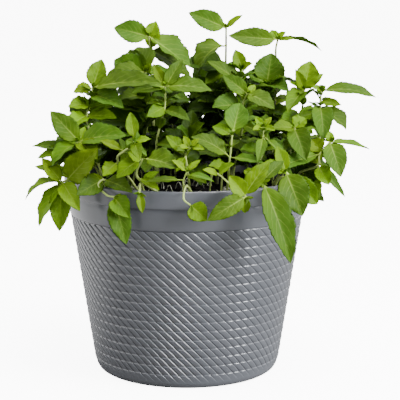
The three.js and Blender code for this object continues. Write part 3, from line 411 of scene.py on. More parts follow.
# Each stem: name, where it stands on the soil [x, y], the places of its nodes from the lowest to
# the tip, and its leaves. A leaf: the node that it grows from (a fraction lies between two nodes),
# its tip x, y, z, its width, how far it arches, and the way that its upper face looks.
FRONT_STEMS = [
  ["tall_left", [-34, -8], [[-34, -14, 262], [-36, -12, 306], [-37, -10, 333], [-38, -10, 346]], [
    [4, -74, -6, 355, 18, 0.1, "front"],
    [4, -31, -8, 361, 9, 0.04, "front"],
    [4, 8, -22, 326, 26, 0.26, "rightUp"],
    [2, -59, -40, 287, 16, 0.1, "mid"],
    [2, -5, -30, 284, 15, 0.1, "mid"],
    [3, -19, 10, 315, 14, 0.1, "back"],
  ]],
  ["tall_centre", [32, 12], [[43, 18, 258], [41, 20, 310], [41, 20, 335], [41, 20, 353]], [
    [4, 2, 22, 369, 16, 0.1, "front"],
    [4, 58, 16, 367, 7, 0.06, "mid"],
    [3, 12, 8, 308, 20, 0.36, "leftUp"],
    [2, 19, 0, 297, 17, 0.15, "mid"],
    [2, 69, 40, 293, 15, 0.1, "up"],
  ]],
  ["tall_right", [74, 8], [[89, 14, 258], [94, 12, 302], [92, 10, 329], [94, 10, 342]], [
    [4, 44, 8, 349, 19, 0.05, "front"],
    [4, 87, 12, 352, 8, 0.03, "front"],
    [4, 102, 8, 350, 7, 0.03, "mid"],
    [4, 111, 4, 343, 6, 0.03, "mid"],
    [4, 140, 10, 331, 12, 0.22, "edge"],
    [2, 119, 30, 292, 15, 0.1, "up"],
  ]],
  ["left_high", [-56, -14], [[-39, -30, 263], [-42, -33, 289], [-41, -35, 312]], [
    [3, -50, -14, 336, 27, 0.06, "front"],
    [3, -81, -40, 307, 17, 0.25, "left"],
    [3, -15, -20, 311, 13, 0.1, "mid"],
    [2, -66, -60, 287, 17, 0.1, "mid"],
    [3, -36, -40, 321, 8, 0.03, "front"],
  ]],
  ["left_front_high", [-30, -46], [[-30, -56, 243], [-22, -58, 277], [-21, -60, 300]], [
    [3, -4, -54, 327, 13, 0.08, "front"],
    [3, -33, -58, 323, 10, 0.05, "front"],
    [3, 25, -68, 297, 19, 0.16, "mid"],
    [2.1, -39, -74, 272, 14, 0.1, "front"],
    [3, -54, -74, 295, 15, 0.12, "mid"],
    [2, 3, -80, 269, 13, 0.12, "mid"],
    [1, -4, -90, 241, 13, 0.1, "mid"],
  ]],
  ["left_mid", [-84, -26], [[-99, -46, 263], [-96, -42, 281], [-94, -40, 297]], [
    [3, -85, -30, 325, 18, 0.05, "front"],
    [3, -28, -66, 300, 22, 0.12, "mid"],
    [3, -113, -44, 293, 13, 0.05, "mid"],
    [2, -118, -50, 279, 16, 0.08, "mid"],
    [2.6, -62, -64, 279, 20, 0.12, "mid"],
    [1.2, -117, -66, 260, 17, 0.12, "mid"],
    [1.2, -69, -60, 269, 15, 0.1, "mid"],
  ]],
  ["left", [-96, -44], [[-99, -62, 224], [-101, -79, 238], [-105, -80, 248]], [
    [3, -133, -78, 278, 20, 0.08, "front"],
    [3, -58, -96, 256, 23, 0.14, "mid"],
    [3, -131, -92, 226, 20, 0.2, "leftUp"],
    [3, -86, -104, 234, 18, 0.16, "mid"],
    [2, -153, -66, 242, 9, 0.16, "mid"],
    [2, -149, -70, 232, 9, 0.12, "mid"],
    [3, -100, -84, 264, 9, 0.03, "front"],
  ]],
  ["bottom_left", [-74, -64], [[-87, -83, 214], [-106, -87, 213], [-118, -84, 210], [-122, -84, 209]], [
    [4, -142, -80, 232, 13, 0.06, "front"],
    [4, -159, -88, 192, 13, 0.34, "up"],
    [4, -145, -92, 166, 16, 0.14, "leftUp"],
    [4, -125, -98, 162, 16, 0.12, "front"],
    [3, -85, -92, 243, 25, 0.1, "front"],
    [4, -103, -100, 183, 17, 0.14, "front"],
    [2, -152, -66, 222, 9, 0.1, "mid"],
  ]],
  ["inner_left", [-46, -72], [[-66, -106, 232], [-60, -111, 243], [-51, -114, 248], [-50, -115, 253]], [
    [4, -54, -104, 280, 13, 0.05, "front"],
    [4, -35, -120, 256, 9, 0.08, "mid"],
    [4, -44, -130, 237, 12, 0.1, "front"],
    [2, -83, -108, 253, 10, 0.1, "mid"],
    [1, -80, -118, 220, 16, 0.14, "mid"],
  ]],
  ["low_left", [-22, -92], [[-47, -114, 218], [-42, -118, 237]], [
    [2, -8, -132, 230, 24, 0.14, "mid"],
    [2, -67, -124, 219, 19, 0.18, "mid"],
    [1, -26, -122, 207, 9, 0.1, "mid"],
    [2, -56, -112, 242, 13, 0.06, "front"],
  ]],
  ["low_centre", [-4, -98], [[-3, -121, 210], [-3, -124, 217], [0, -126, 225]], [
    [2, -40, -134, 217, 9, 0.1, "mid"],
    [3, -14, -128, 237, 10, 0.08, "mid"],
    [2.6, 26, -134, 217, 8, 0.3, "mid"],
    [3, 13, -122, 236, 8, 0.06, "mid"],
  ]],
  ["drooping_centre", [8, -106], [[0, -122, 211], [-3, -134, 201], [3, -135, 195]], [
    [3, 19, -142, 181, 18, 0.12, "front"],
  ]],
  ["centre_young", [4, -76], [[0, -104, 228], [-1, -106, 238], [3, -108, 246]], [
    [3, -3, -104, 257, 8, 0.04, "front"],
    [3, 12, -108, 255, 7, 0.05, "mid"],
    [3, -10, -113, 247, 7, 0.08, "mid"],
    [2, -20, -104, 257, 15, 0.14, "mid"],
    [3, 17, -112, 245, 8, 0.06, "mid"],
    [2, -10, -116, 224, 10, 0.1, "mid"],
  ]],
  ["centre_upright", [40, -66], [[41, -90, 221], [42, -93, 234], [44, -95, 256]], [
    [3, 52, -78, 286, 24, 0.06, "front"],
    [2, 4, -102, 256, 20, 0.26, "mid"],
    [2, 74, -106, 231, 10, 0.1, "mid"],
    [3, 25, -88, 264, 14, 0.1, "mid"],
    [1, 21, -106, 228, 15, 0.15, "mid"],
  ]],
  ["front_trailing", [22, -92], [[24, -116, 220], [30, -121, 222], [43, -129, 212], [56, -136, 203]], [
    [4, 19, -148, 182, 17, 0.14, "front"],
    [4, 40, -134, 223, 15, 0.12, "front"],
    [4, 55, -142, 188, 9, 0.05, "front"],
    [3.9, 79, -126, 236, 17, 0.12, "mid"],
    [2, 45, -124, 233, 9, 0.06, "mid"],
    [2, 15, -124, 227, 8, 0.08, "mid"],
  ]],
  ["hanging_right", [60, -86], [[62, -104, 212], [67, -122, 217], [72, -128, 216]], [
    [3, 99, -140, 139, 31, 0.12, "rightFront"],
    [3, 93, -112, 234, 12, 0.1, "mid"],
    [2, 55, -114, 225, 12, 0.1, "mid"],
  ]],
  ["right_front", [86, -66], [[91, -82, 212], [100, -104, 216], [95, -112, 223]], [
    [3, 111, -124, 182, 27, 0.14, "front"],
    [3, 68, -118, 230, 14, 0.14, "mid"],
    [2, 127, -104, 190, 20, 0.14, "front"],
    [3, 87, -96, 246, 13, 0.1, "mid"],
  ]],
  ["centre_sprig", [60, -44], [[76, -74, 239], [75, -78, 253], [75, -80, 262]], [
    [3, 67, -76, 272, 8, 0.04, "front"],
    [3, 83, -78, 272, 7, 0.05, "mid"],
    [3, 64, -86, 260, 8, 0.06, "mid"],
    [2, 98, -96, 229, 11, 0.1, "rightUp"],
    [2, 74, -94, 230, 12, 0.16, "front"],
    [3, 86, -84, 259, 8, 0.06, "mid"],
    [1, 52, -88, 241, 14, 0.1, "mid"],
  ]],
  ["pair_centre_right", [44, -30], [[56, -52, 261], [55, -56, 280], [60, -60, 293]], [
    [3, 36, -56, 311, 15, 0.06, "front"],
    [3, 86, -78, 280, 18, 0.14, "mid"],
    [3, 68, -54, 301, 7, 0.04, "front"],
    [2, 25, -66, 280, 21, 0.16, "mid"],
    [1, 82, -74, 249, 16, 0.12, "mid"],
    [1, 27, -70, 258, 15, 0.1, "mid"],
  ]],
  ["upright_small", [48, 0], [[55, -4, 271], [56, -1, 297], [57, 0, 312]], [
    [3, 50, 4, 332, 13, 0.03, "front"],
    [3, 45, -2, 321, 5, 0.03, "front"],
    [3, 67, -6, 318, 9, 0.06, "mid"],
    [2, 21, 0, 320, 16, 0.12, "mid"],
    [1, 28, -16, 282, 18, 0.12, "mid"],
    [1, 77, -20, 278, 17, 0.12, "mid"],
  ]],
  ["dark_right_top", [74, 26], [[85, 14, 269], [83, 8, 296]], [
    [2, 92, 14, 328, 24, 0.08, "front"],
    [2, 59, -6, 308, 16, 0.12, "mid"],
    [2, 104, -12, 290, 17, 0.16, "mid"],
    [1, 61, -12, 274, 17, 0.14, "mid"],
    [1, 108, -14, 265, 16, 0.14, "mid"],
  ]],
  ["right_top", [97, -9], [[117, -8, 265], [120, -10, 292]], [
    [2, 127, -4, 321, 22, 0.06, "front"],
    [2, 110, -12, 312, 10, 0.04, "front"],
    [2, 140, -6, 308, 10, 0.06, "rightUp"],
    [2, 102, -34, 271, 18, 0.14, "leftFront"],
    [2, 104, -18, 301, 6, 0.03, "mid"],
    [1, 130, -4, 276, 4, 0.3, "mid"],
    [1, 95, -30, 261, 16, 0.12, "mid"],
  ]],
  ["right_upper", [112, -6], [[135, -22, 242], [136, -20, 270], [136, -20, 281], [137, -20, 292]], [
    [4, 193, -18, 285, 13, 0.16, "mid"],
    [4, 141, -22, 297, 8, 0.03, "mid"],
    [3, 157, -26, 278, 10, 0.06, "mid"],
    [2, 161, -36, 254, 21, 0.3, "rightUp"],
    [2.4, 136, -52, 244, 20, 0.22, "front"],
    [4, 127, -24, 296, 7, 0.03, "mid"],
  ]],
  ["right", [104, -38], [[114, -48, 212], [130, -66, 222], [132, -64, 233], [142, -62, 245]], [
    [4, 182, -62, 238, 12, 0.16, "up"],
    [4, 151, -82, 213, 21, 0.14, "front"],
    [4, 159, -70, 224, 13, 0.1, "rightUp"],
    [4, 142, -60, 256, 8, 0.03, "front"],
    [3, 82, -86, 220, 15, 0.08, "mid"],
    [2, 141, -74, 204, 15, 0.1, "front"],
    [2.4, 159, -58, 189, 7, 0.1, "mid"],
  ]],
  ["right_inner", [88, -26], [[113, -50, 246], [107, -54, 258]], [
    [2, 117, -76, 228, 21, 0.16, "front"],
    [2, 84, -70, 260, 15, 0.1, "mid"],
    [2, 119, -48, 267, 15, 0.1, "mid"],
    [1, 94, -72, 237, 15, 0.1, "mid"],
  ]],
  ["left_trailing", [-68, -76], [[-80, -92, 212], [-86, -102, 208], [-77, -109, 200], [-70, -113, 199]], [
    [4, -55, -126, 181, 18, 0.14, "front"],
    [4, -58, -128, 155, 20, 0.1, "front"],
    [1, -52, -118, 204, 17, 0.12, "mid"],
    [1, -101, -112, 210, 15, 0.12, "mid"],
  ]],
  ["dark_hanging", [-40, -98], [[-44, -114, 212], [-45, -128, 206]], [
    [2, -42, -134, 187, 9, 0.1, "front"],
    [1, -33, -124, 225, 9, 0.08, "mid"],
  ]],
]
print("stems at the front:", len(FRONT_STEMS), "leaves:", sum(len(stem[3]) for stem in FRONT_STEMS))

# %% The stems behind them
# Each ring: name, how many stems, its first and last azimuth in degrees, the radius where the stems stand,
# the radius of their tips at the ring's ends and in its middle, and the height of their tips.
BACK_RINGS = [
    ("back_low", 8, (12, 170), 92, (122, 150), 226),
    ("back_mid", 6, (16, 164), 64, (88, 112), 258),
    ("back_top", 4, (32, 148), 36, (42, 62), 284),
    ("inner", 3, (218, 322), 46, (58, 60), 244),
]
# By how many degrees and millimetres the stems of a ring differ in azimuth and in height.
AZIMUTH_SPREAD = 8
HEIGHT_SPREAD = 12
# A node of such a stem: how far out and how far up it is, as shares of the way to the tip.
BACK_NODES = [(0.22, 0.52), (0.6, 0.88), (1, 1)]
# A pair: the place on the stem, the length of its leaves, how steeply they rise and how far they droop.
BACK_PAIRS = [(1, 44, 18, 0.45), (1.7, 45, 22, 0.3), (2.35, 39, 34, 0.15), (3, 26, 54, 0)]
# A pair that the tall stems of the table have as well, where their lowest node is this high.
INNER_PAIR = (0.62, 42, 20, 0.2)
INNER_FROM_HEIGHT = 228
# The width and the arch of these leaves as parts of their length, and how far the leaves differ.
RULE_WIDTH = 0.5
RULE_ARCH = 0.13
LENGTH_SPREAD = 0.3
TURN_SPREAD = 50
RISE_SPREAD = 16
# Where the CAD source tries a leaf from the tables: its tip is moved across, back and up.
FRONT_TRIES = [
    (0, 0, 0), (0, -6, 1), (0, 6, -1), (0, -12, 2), (0, 12, -2), (4, -9, 5), (-4, 9, -5),
    (-6, -14, 2), (6, 14, -2), (0, -20, 3), (0, 20, -3), (9, -4, -7), (-9, 4, 7),
]
# Where it tries a leaf of a pair: turned further, raised further, and a part of its length.
RULE_TRIES = [
    (0, 0, 1), (20, 0, 0.95), (-20, 0, 0.95), (0, 18, 0.9), (0, -18, 0.9), (36, 10, 0.85),
    (-36, 10, 0.85), (20, -24, 0.8), (-20, -24, 0.8), (0, 30, 0.75), (50, 0, 0.7), (-50, 0, 0.7),
]
print("stems behind them:", sum(ring[1] for ring in BACK_RINGS))

# %% The line of a stem
START_HEIGHT = 194
STRAIGHT_BELOW = 20


class StemLine:
    """A stem's middle line. Station 0 is just above the soil, and station k is the k-th node."""

    def __init__(self, root, nodes):
        start = np.array([root[0], root[1], START_HEIGHT], float)
        stops = [start - (0, 0, STRAIGHT_BELOW), start, *[np.array(n, float) for n in nodes]]
        stops.append(2 * stops[-1] - stops[-2])
        self.root = np.array(root, float)
        self.stops = np.array(stops)
        self.last = len(nodes)

    def at(self, station):
        """The Catmull-Rom point: four stops weighted by cubics of the place between two of them."""
        station = np.atleast_1d(np.asarray(station, float))
        i = np.minimum(np.floor(station).astype(int), self.last - 1)
        t = (station - i)[:, None]
        weights = (-t + 2 * t**2 - t**3, 2 - 5 * t**2 + 3 * t**3, t + 4 * t**2 - 3 * t**3, t**3 - t**2)
        return sum(w / 2 * self.stops[i + k] for k, w in enumerate(weights))

    def heading(self, station):
        """The direction of growth: from a point just below the place to one just above it."""
        station = np.atleast_1d(np.asarray(station, float))
        low = self.at(np.maximum(station - 0.05, 0))
        return unit(self.at(np.minimum(station + 0.05, self.last)) - low)

    def outward(self):
        """The level direction from the plant's middle to where the stem stands."""
        return unit([self.root[0], self.root[1], 0])


def back_line(ring, index):
    """The line of a stem in a ring: up from its root, then over towards its tip. The tips reach out by
    half a sine wave over the ring, furthest in its middle."""
    _, count, (first, last), root, (ends, middle), top = ring
    share = index / (count - 1)
    azimuth = np.radians(between(first, last, share) + AZIMUTH_SPREAD * (chance(root, index, 1) - 0.5))
    reach = between(ends, middle, np.sin(np.pi * share))
    rise = top + HEIGHT_SPREAD * (chance(root, index, 2) - 0.5) - SOIL_TOP
    nodes = []
    for out, up in BACK_NODES:
        r = between(root, reach, out)
        nodes.append((r * np.cos(azimuth), r * np.sin(azimuth), SOIL_TOP + rise * up))
    return StemLine((root * np.cos(azimuth), root * np.sin(azimuth)), nodes)


print("first stem's tip in mm:", StemLine(*FRONT_STEMS[0][1:3]).at(4)[0].round(1))


# %% The places where a leaf is tried
def turned(v, axis, degrees):
    """The vector turned about an axis, by Rodrigues' formula."""
    a = np.radians(degrees)
    return v * np.cos(a) + np.cross(axis, v) * np.sin(a) + axis * (axis @ v) * (1 - np.cos(a))


def table_leaf(tip, width, arch, facing):
    """A leaf as the tables give it: its tip, its width, its arch and the way its upper face looks."""
    faces = np.array(FACES[facing], float)
    return {"tip": np.array(tip, float), "width": width, "arch": arch, "faces": faces}


def front_tries(row):
    """A leaf of the tables in each place where the CAD source tries it."""
    _, x, y, z, width, arch, facing = row
    return [
        table_leaf((x + across, y + back, z + rise), width, arch, facing)
        for across, back, rise in FRONT_TRIES
    ]


def pair_tries(line, pair, seed, order, hand):
    """A leaf of a pair stands out from its stem at an angle, older ones droop, and each pair is a
    quarter turn on from the one below it."""
    station, length, rise, droop = pair
    base = line.at(station)[0]
    heading = line.heading(station)[0]

    def about(k, spread):
        return spread * (chance(seed, order, k) - 0.5)

    turn = 90 * order + 180 * hand + about(1, TURN_SPREAD)
    outward = line.outward()
    level = unit(outward - heading * (outward @ heading))
    tries = []
    for extra_turn, extra_rise, scale in RULE_TRIES:
        reach = length * scale * (1 + about(2 + hand, LENGTH_SPREAD))
        lift = np.radians(rise + extra_rise + about(4 + hand, RISE_SPREAD))
        direction = turned(level, heading, turn + extra_turn) * np.cos(lift) + heading * np.sin(lift)
        direction[2] -= droop
        faces = heading + 0.5 * outward
        faces[2] = heading[2] + 0.6
        tip = base + unit(direction) * reach
        tries.append({"tip": tip, "width": reach * RULE_WIDTH, "arch": RULE_ARCH, "faces": faces})
    return tries


print("places for the first leaf:", len(front_tries(FRONT_STEMS[0][3][0])))

# %% The leaves that were kept
TIP_REACH = 0.46
# Leaves of the CAD source with a finer form here: the stem, then the leaf's place in its table.
FINER_FORM = {
    "tall_left": {
        0: {"width": 21}, 1: {"width": 12}, 2: {"tip": np.array([4.0, -22, 316]), "arch": 0.04, "width": 28},
    },
    "tall_centre": {0: {"width": 19}, 2: {"arch": 0.42, "width": 26}},
    "tall_right": {0: {"tip": np.array([43.0, 8, 346]), "arch": -0.03, "width": 18}},
    "dark_right_top": {0: {"tip": np.array([88.0, 12, 328]), "width": 29}},
    "right_upper": {0: {"arch": 0.24}},
    "hanging_right": {0: {"width": 25}},
    "right": {0: {"arch": 0.07, "width": 14}, 6: {"arch": -0.08, "width": 9}},
    "left": {4: {"width": 12}, 5: {"width": 13}},
    "bottom_left": {1: {"width": 17}, 2: {"width": 18}, 3: {"width": 19}, 6: {"width": 12}},
}


def planned_stems():
    """Every stem with its line and, for each leaf, its station and the places where it is tried."""
    plan = []
    for name, root, nodes, leaves in FRONT_STEMS:
        line = StemLine(root, nodes)
        tries = [(row[0], front_tries(row)) for row in leaves]
        if nodes[0][2] >= INNER_FROM_HEIGHT:
            seed = len(plan) + 1
            tries += [(INNER_PAIR[0], pair_tries(line, INNER_PAIR, seed, 0, hand)) for hand in (0, 1)]
        plan.append({"name": name, "line": line, "tries": tries})
    for ring in BACK_RINGS:
        for i in range(ring[1]):
            line = back_line(ring, i)
            seed = len(plan) + 1
            tries = [
                (pair[0], pair_tries(line, pair, seed, order, hand))
                for order, pair in enumerate(BACK_PAIRS)
                for hand in (0, 1)
            ]
            plan.append({"name": f"{ring[0]}_{i + 1}", "line": line, "tries": tries})
    return plan


def kept_try(tries, vertices):
    """The first try whose tip has two vertices of the CAD piece close by, or None."""
    for leaf in tries:
        near = np.linalg.norm(vertices - leaf["tip"], axis=1) < TIP_REACH
        if near.sum() >= 2:
            return leaf
    return None


def kept_leaves(stem):
    """The leaves that the stem's CAD piece has, each with its station."""
    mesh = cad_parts["stem_" + stem["name"]].data
    vertices = np.empty(len(mesh.vertices) * 3)
    mesh.vertices.foreach_get("co", vertices)
    vertices = vertices.reshape(-1, 3) / MM
    found = [(station, kept_try(tries, vertices)) for station, tries in stem["tries"]]
    for place, change in FINER_FORM.get(stem["name"], {}).items():
        if found[place][1] is not None:
            found[place][1].update(change)
    return [(station, leaf) for station, leaf in found if leaf is not None]


plan = planned_stems()
for stem in plan:
    stem["leaves"] = kept_leaves(stem)
print("stems:", len(plan), "leaves:", sum(len(stem["leaves"]) for stem in plan))
print("tries dropped:", sum(len(stem["tries"]) - len(stem["leaves"]) for stem in plan))

# %% [markdown]
# ## Leaves and stems as surfaces
# A mint leaf is oval and toothed, folded along its midrib, and it swells between its side veins. A flat
# card with a picture would lose the fold and the swelling that catch the light, and a sculpted leaf would
# be one and the same each time. So a leaf is one closed tube, flattened. Its rows run from the stem to
# the tip, and each row is a loop across the upper face and back below. The first rows are the round stalk.

# %% The leaf's outline
WIDER = 1.12
BASE_POWER = 0.62
TIP_POWER = 0.96
# Rows along one tooth, as shares of its length, and how far each is drawn out or in.
TOOTH_ROWS = np.array([0, 0.36, 0.72, 0.9])
TOOTH_DRAW = np.array([-0.035, 0.005, 0.03, 0.05])
STALK_ROWS = np.array([0, 0.35, 0.7])


def outline(u):
    """Half the width of a mint leaf along its length, as a part of its largest half width: a power of
    the distance from the base times a power of the distance from the tip."""
    widest = BASE_POWER / (BASE_POWER + TIP_POWER)
    return (u / widest) ** BASE_POWER * ((1 - u) / (1 - widest)) ** TIP_POWER


def leaf_rows(teeth):
    """Places along the blade, and how far each is drawn in or out: four rows to a tooth."""
    t = ((np.arange(teeth)[:, None] + TOOTH_ROWS) / teeth).ravel()
    u = 0.03 + 0.94 * t
    factor = 1 + np.tile(TOOTH_DRAW, teeth) * ease(t, 0, 0.25)
    return np.concatenate([[0.012], u, [0.985, 0.996]]), np.concatenate([[1], factor, [1, 1]])


def leaf_loop(across):
    """A loop of points round the blade: where each lies from the left edge at -1 to the right one at 1,
    closer together at the edges, and its side, 1 above and -1 below."""
    k = np.arange(2 * across)
    phase = np.pi * k / across
    straight = np.where(k <= across, -1 + 2 * k / across, 3 - 2 * k / across)
    return 0.55 * straight - 0.45 * np.cos(phase), np.sign(np.round(np.sin(phase), 6))


print("a leaf of eight teeth has", len(leaf_rows(8)[0]) + len(STALK_ROWS), "rows")

# %% The leaf's surface
VEIN_PAIRS = 6.0
VEIN_LEAN = 0.52
# The swelling between the veins and the grooves above and below the midrib, in a leaf 40 mm long.
USUAL_LENGTH = 40
SWELLING = 0.7
RIB_WIDTH = 0.9
RIB_GROOVES = (-0.18, -0.3)
# How far the edge waves and curls, as parts of the leaf's width, and how steeply the blade is folded.
EDGE_WAVE = 0.05
EDGE_CURL = 0.1
WAVES = (2, 3.5)
FOLDS = (0.28, 0.58)
BLADE_HALF = 0.2
STALK_RADII = (0.3, 0.75)


def leaf_relief(x, v, sign, place, in_blade, width, size, seed):
    """How far the blade lies off its middle surface: the fold and the groove along the midrib, the
    swelling between the side veins, and an edge that curls and waves. All but the fold and the groove
    fade out at the blade's ends."""
    rib = np.exp(-((x / RIB_WIDTH) ** 2))
    ends = ease(place, 0, 0.12) * ease(place, 1, 0.85)
    vein = VEIN_PAIRS * (place - VEIN_LEAN * np.abs(v) ** 1.3 - 0.08 * (1 - np.abs(v)))
    swell = SWELLING * size * (np.abs(np.sin(np.pi * vein)) ** 0.6 - 0.5) * (1 - rib) * (1 - v**4) * ends
    phase = 2 * np.pi * (between(*WAVES, chance(seed, 2, 3)) * place + chance(seed, 5, 1)) + np.sign(v)
    wave = EDGE_WAVE * width * np.sin(phase) * np.abs(v) ** 3
    fold = between(*FOLDS, chance(seed, 9, 4)) * (np.sqrt(x**2 + 0.8) - 0.9) * in_blade
    curl = EDGE_CURL * width * (chance(seed, 8, 8) - 0.35) * v**2 * ends
    groove = np.where(sign > 0, *RIB_GROOVES) * rib * in_blade * size
    return fold + (swell + curl + wave * ends) * in_blade + groove


def add_leaf(shape, base, leaf, look, seed, teeth=8, across=10, stalk=0.07, slender=1.0):
    """Adds one leaf. The middle line is a parabola from the base to the tip, raised in the middle by
    the arch. A point lies off it by its place across along the side vector, and along the normal by
    the relief plus or minus half the thickness. The look holds age, chance and shade."""
    along = leaf["tip"] - base
    length = np.linalg.norm(along)
    size = length / USUAL_LENGTH
    along = along / length
    up = unit(leaf["faces"] - along * (leaf["faces"] @ along))
    side = np.cross(along, up)
    bend = (base + leaf["tip"]) / 2 + up * leaf["arch"] * length
    blade, drawn = leaf_rows(teeth)
    u = np.concatenate([STALK_ROWS * stalk, stalk + (1 - stalk) * blade])
    in_blade = np.concatenate([[0, 0, 0.02], ease(blade, 0, 0.05)])
    place = np.concatenate([[0, 0, 0], blade])
    spread = np.concatenate([[0, 0, 0], outline(blade) * drawn]) * WIDER * slender * leaf["width"] / 2
    stalk_radius = np.clip(0.016 * length, *STALK_RADII)
    half = np.maximum(spread, stalk_radius * ease(place, 0.06, 0) + 0.05)
    place, in_blade, half, t = (row_values[:, None] for row_values in (place, in_blade, half, u))
    v, sign = leaf_loop(across)
    x = half * v
    body = sign * between(stalk_radius, BLADE_HALF, in_blade) * np.clip(1 - v**2, 0, 1) ** 0.4
    away = leaf_relief(x, v, sign, place, in_blade, leaf["width"], size, seed) + body
    middle = base * (1 - t) ** 2 + 2 * bend * t * (1 - t) + leaf["tip"] * t**2
    ahead = (bend - base) * (1 - t) + (leaf["tip"] - bend) * t
    normal = unit(np.cross(side, ahead))
    points = middle[:, None, :] + side * x[..., None] + normal[:, None, :] * away[..., None]
    points = np.concatenate([points.reshape(-1, 3), [base], [leaf["tip"]]])
    leaf_map = np.stack(np.broadcast_arrays(place, v / 2 + 0.5), -1).reshape(-1, 2)
    leaf_map = np.concatenate([leaf_map, [(0, 0.5), (1, 0.5)]])
    under = np.broadcast_to((1 - sign) / 2, x.shape).ravel()
    colour = np.empty((len(points), 4))
    colour[:, :3] = look
    colour[:, 3] = np.concatenate([under, [0.5, 0.5]])
    shape.add(points, *loops_to_faces(*x.shape), material=1, uv=leaf_map, leaf_look=colour)


print("side veins lean by", VEIN_LEAN, "of the blade's length at the edge")

# %% The stem's surface
STEM_SIDES = 12
STEM_FOOT = 178.4
STEM_RADII = (1.3, 0.95)
SQUARENESS = 3.4
NODE_SWELLING = 0.3
NODE_LENGTH = 1.6


def add_stem(shape, line, brown, thick):
    """Adds a stem: rounded squares along its line, thinner towards the tip and swollen at the nodes. A
    rounded square's radius makes the powers of its cosine and its sine add up to one."""
    rows = int(6 + 14 * line.last)
    station = np.linspace(0, line.last, rows)
    place = np.concatenate([[(*line.root, STEM_FOOT)], line.at(station)])
    heading = np.concatenate([[(0, 0, 1)], line.heading(station)])
    station = np.concatenate([[0], station])
    share = station / line.last
    from_node = np.abs(station - np.round(station)) * np.linalg.norm(line.stops[2] - line.stops[1])
    swollen = NODE_SWELLING * np.exp(-((from_node / NODE_LENGTH) ** 2)) * (station > 0.4)
    radius = thick * between(*STEM_RADII, share) * (1 + swollen)
    angle = full_turn(STEM_SIDES)
    square = np.abs(np.cos(angle)) ** SQUARENESS + np.abs(np.sin(angle)) ** SQUARENESS
    square = square ** (-1 / SQUARENESS)
    across = np.array([1.0, 0, 0])
    points = []
    for p, h, r in zip(place, heading, radius):
        across = unit(across - h * (across @ h))
        ring = np.cos(angle)[:, None] * across + np.sin(angle)[:, None] * np.cross(h, across)
        points.append(p + r * square[:, None] * ring)
    points = np.concatenate([*points, [place[0]], [place[-1] + heading[-1] * 0.4]])
    along = np.concatenate([np.repeat(share, STEM_SIDES), [0, 1]])
    colour = np.zeros((len(points), 4))
    colour[:, 0] = brown
    colour[:, 3] = along
    leaf_map = np.stack([along, np.zeros(len(points))], -1)
    shape.add(points, *loops_to_faces(len(place), STEM_SIDES), uv=leaf_map, leaf_look=colour)


print("a stem's radius in mm, foot and tip:", STEM_RADII)

# %% [markdown]
# ## Small leaves
# Real mint carries many more leaves than the CAD source: small ones on side shoots, and a tuft of leaves
# that still unfold at each tip. Scattering them over the plant would ignore how it grows. So each stem
# carries them at its own nodes, in pairs that turn by a quarter, and they stay above the soil and inside
# the plant.

# %% Where small leaves may grow
SMALL_STEP = 12.0
LEAST_HEIGHT = 192
LOW_HEIGHT = 208
LOW_REACH = 119
PLANT_REACH = 150
DEEPEST_SHADE = 0.85
# In front of this Y and below this height the soil is bare, as far as small leaves go.
BARE_FRONT = (-45, 234)
USUAL_TOP = 400


def inside_plant(points):
    """Whether a small leaf's points stay above the soil, inside the rim where low, and in the box."""
    r = np.hypot(points[:, 0], points[:, 1])
    z = points[:, 2]
    outside = (z < LEAST_HEIGHT) | ((z < LOW_HEIGHT) & (r > LOW_REACH)) | (r > PLANT_REACH)
    return not np.any(outside)


def depth_shade(place):
    """The painted shade at a point, by how deep it lies in the plant: 0 at its outside, rising towards its
    middle and the soil.
    """
    x, y, z = place / PLANT_REACH - (0, 0, SOIL_TOP / PLANT_REACH)
    return DEEPEST_SHADE * ease(np.sqrt(x * x + y * y + 0.8 * z * z), 0.86, 0.36)


def room_inside(place):
    """How much larger small leaves may be: by 1 well inside the plant, by 0 at its front, at its
    outside and at its top. It is a product of smooth steps by Y, by radius and by height."""
    x, y, z = place
    return ease(y, -62, -12) * ease(np.hypot(x, y), 118, 88) * ease(z, 306, 276)


print("shade above the soil's middle:", round(float(depth_shade(np.array([0, 0, 200.0]))), 2))

# %% Small leaves, side shoots and tufts
SMALL_REACHES = (12, 20)
SMALL_WIDTH = 0.46
TUFT_WIDTH = 0.36
SHOOT_TURN = 55
# The leaves of a tuft, two crossed pairs: each one's turn, how steeply it stands and its length.
TUFT = [(0, 66, 6.5), (180, 62, 6), (90, 40, 9), (270, 36, 8.5)]


def raised(level, heading, turn, lift):
    """A direction turned about the stem by some degrees, then raised towards its tip by some radians."""
    return turned(level, heading, turn) * np.cos(lift) + heading * np.sin(lift)


def small_leaf(shape, base, tip, heading, seed, k):
    """One small leaf, where its place is inside the plant."""
    if inside_plant(np.array([tip, (base + tip) / 2])):
        reach = np.linalg.norm(tip - base)
        faces = heading + np.array([0, -0.3, 0.6])
        leaf = {"tip": tip, "width": SMALL_WIDTH * reach, "arch": 0.14, "faces": faces}
        look = (between(0.4, 0.9, chance(seed, k, 21)), chance(seed, k, 23), depth_shade(tip))
        add_leaf(shape, base, leaf, look, seed + k, teeth=4, across=5, stalk=0.1)


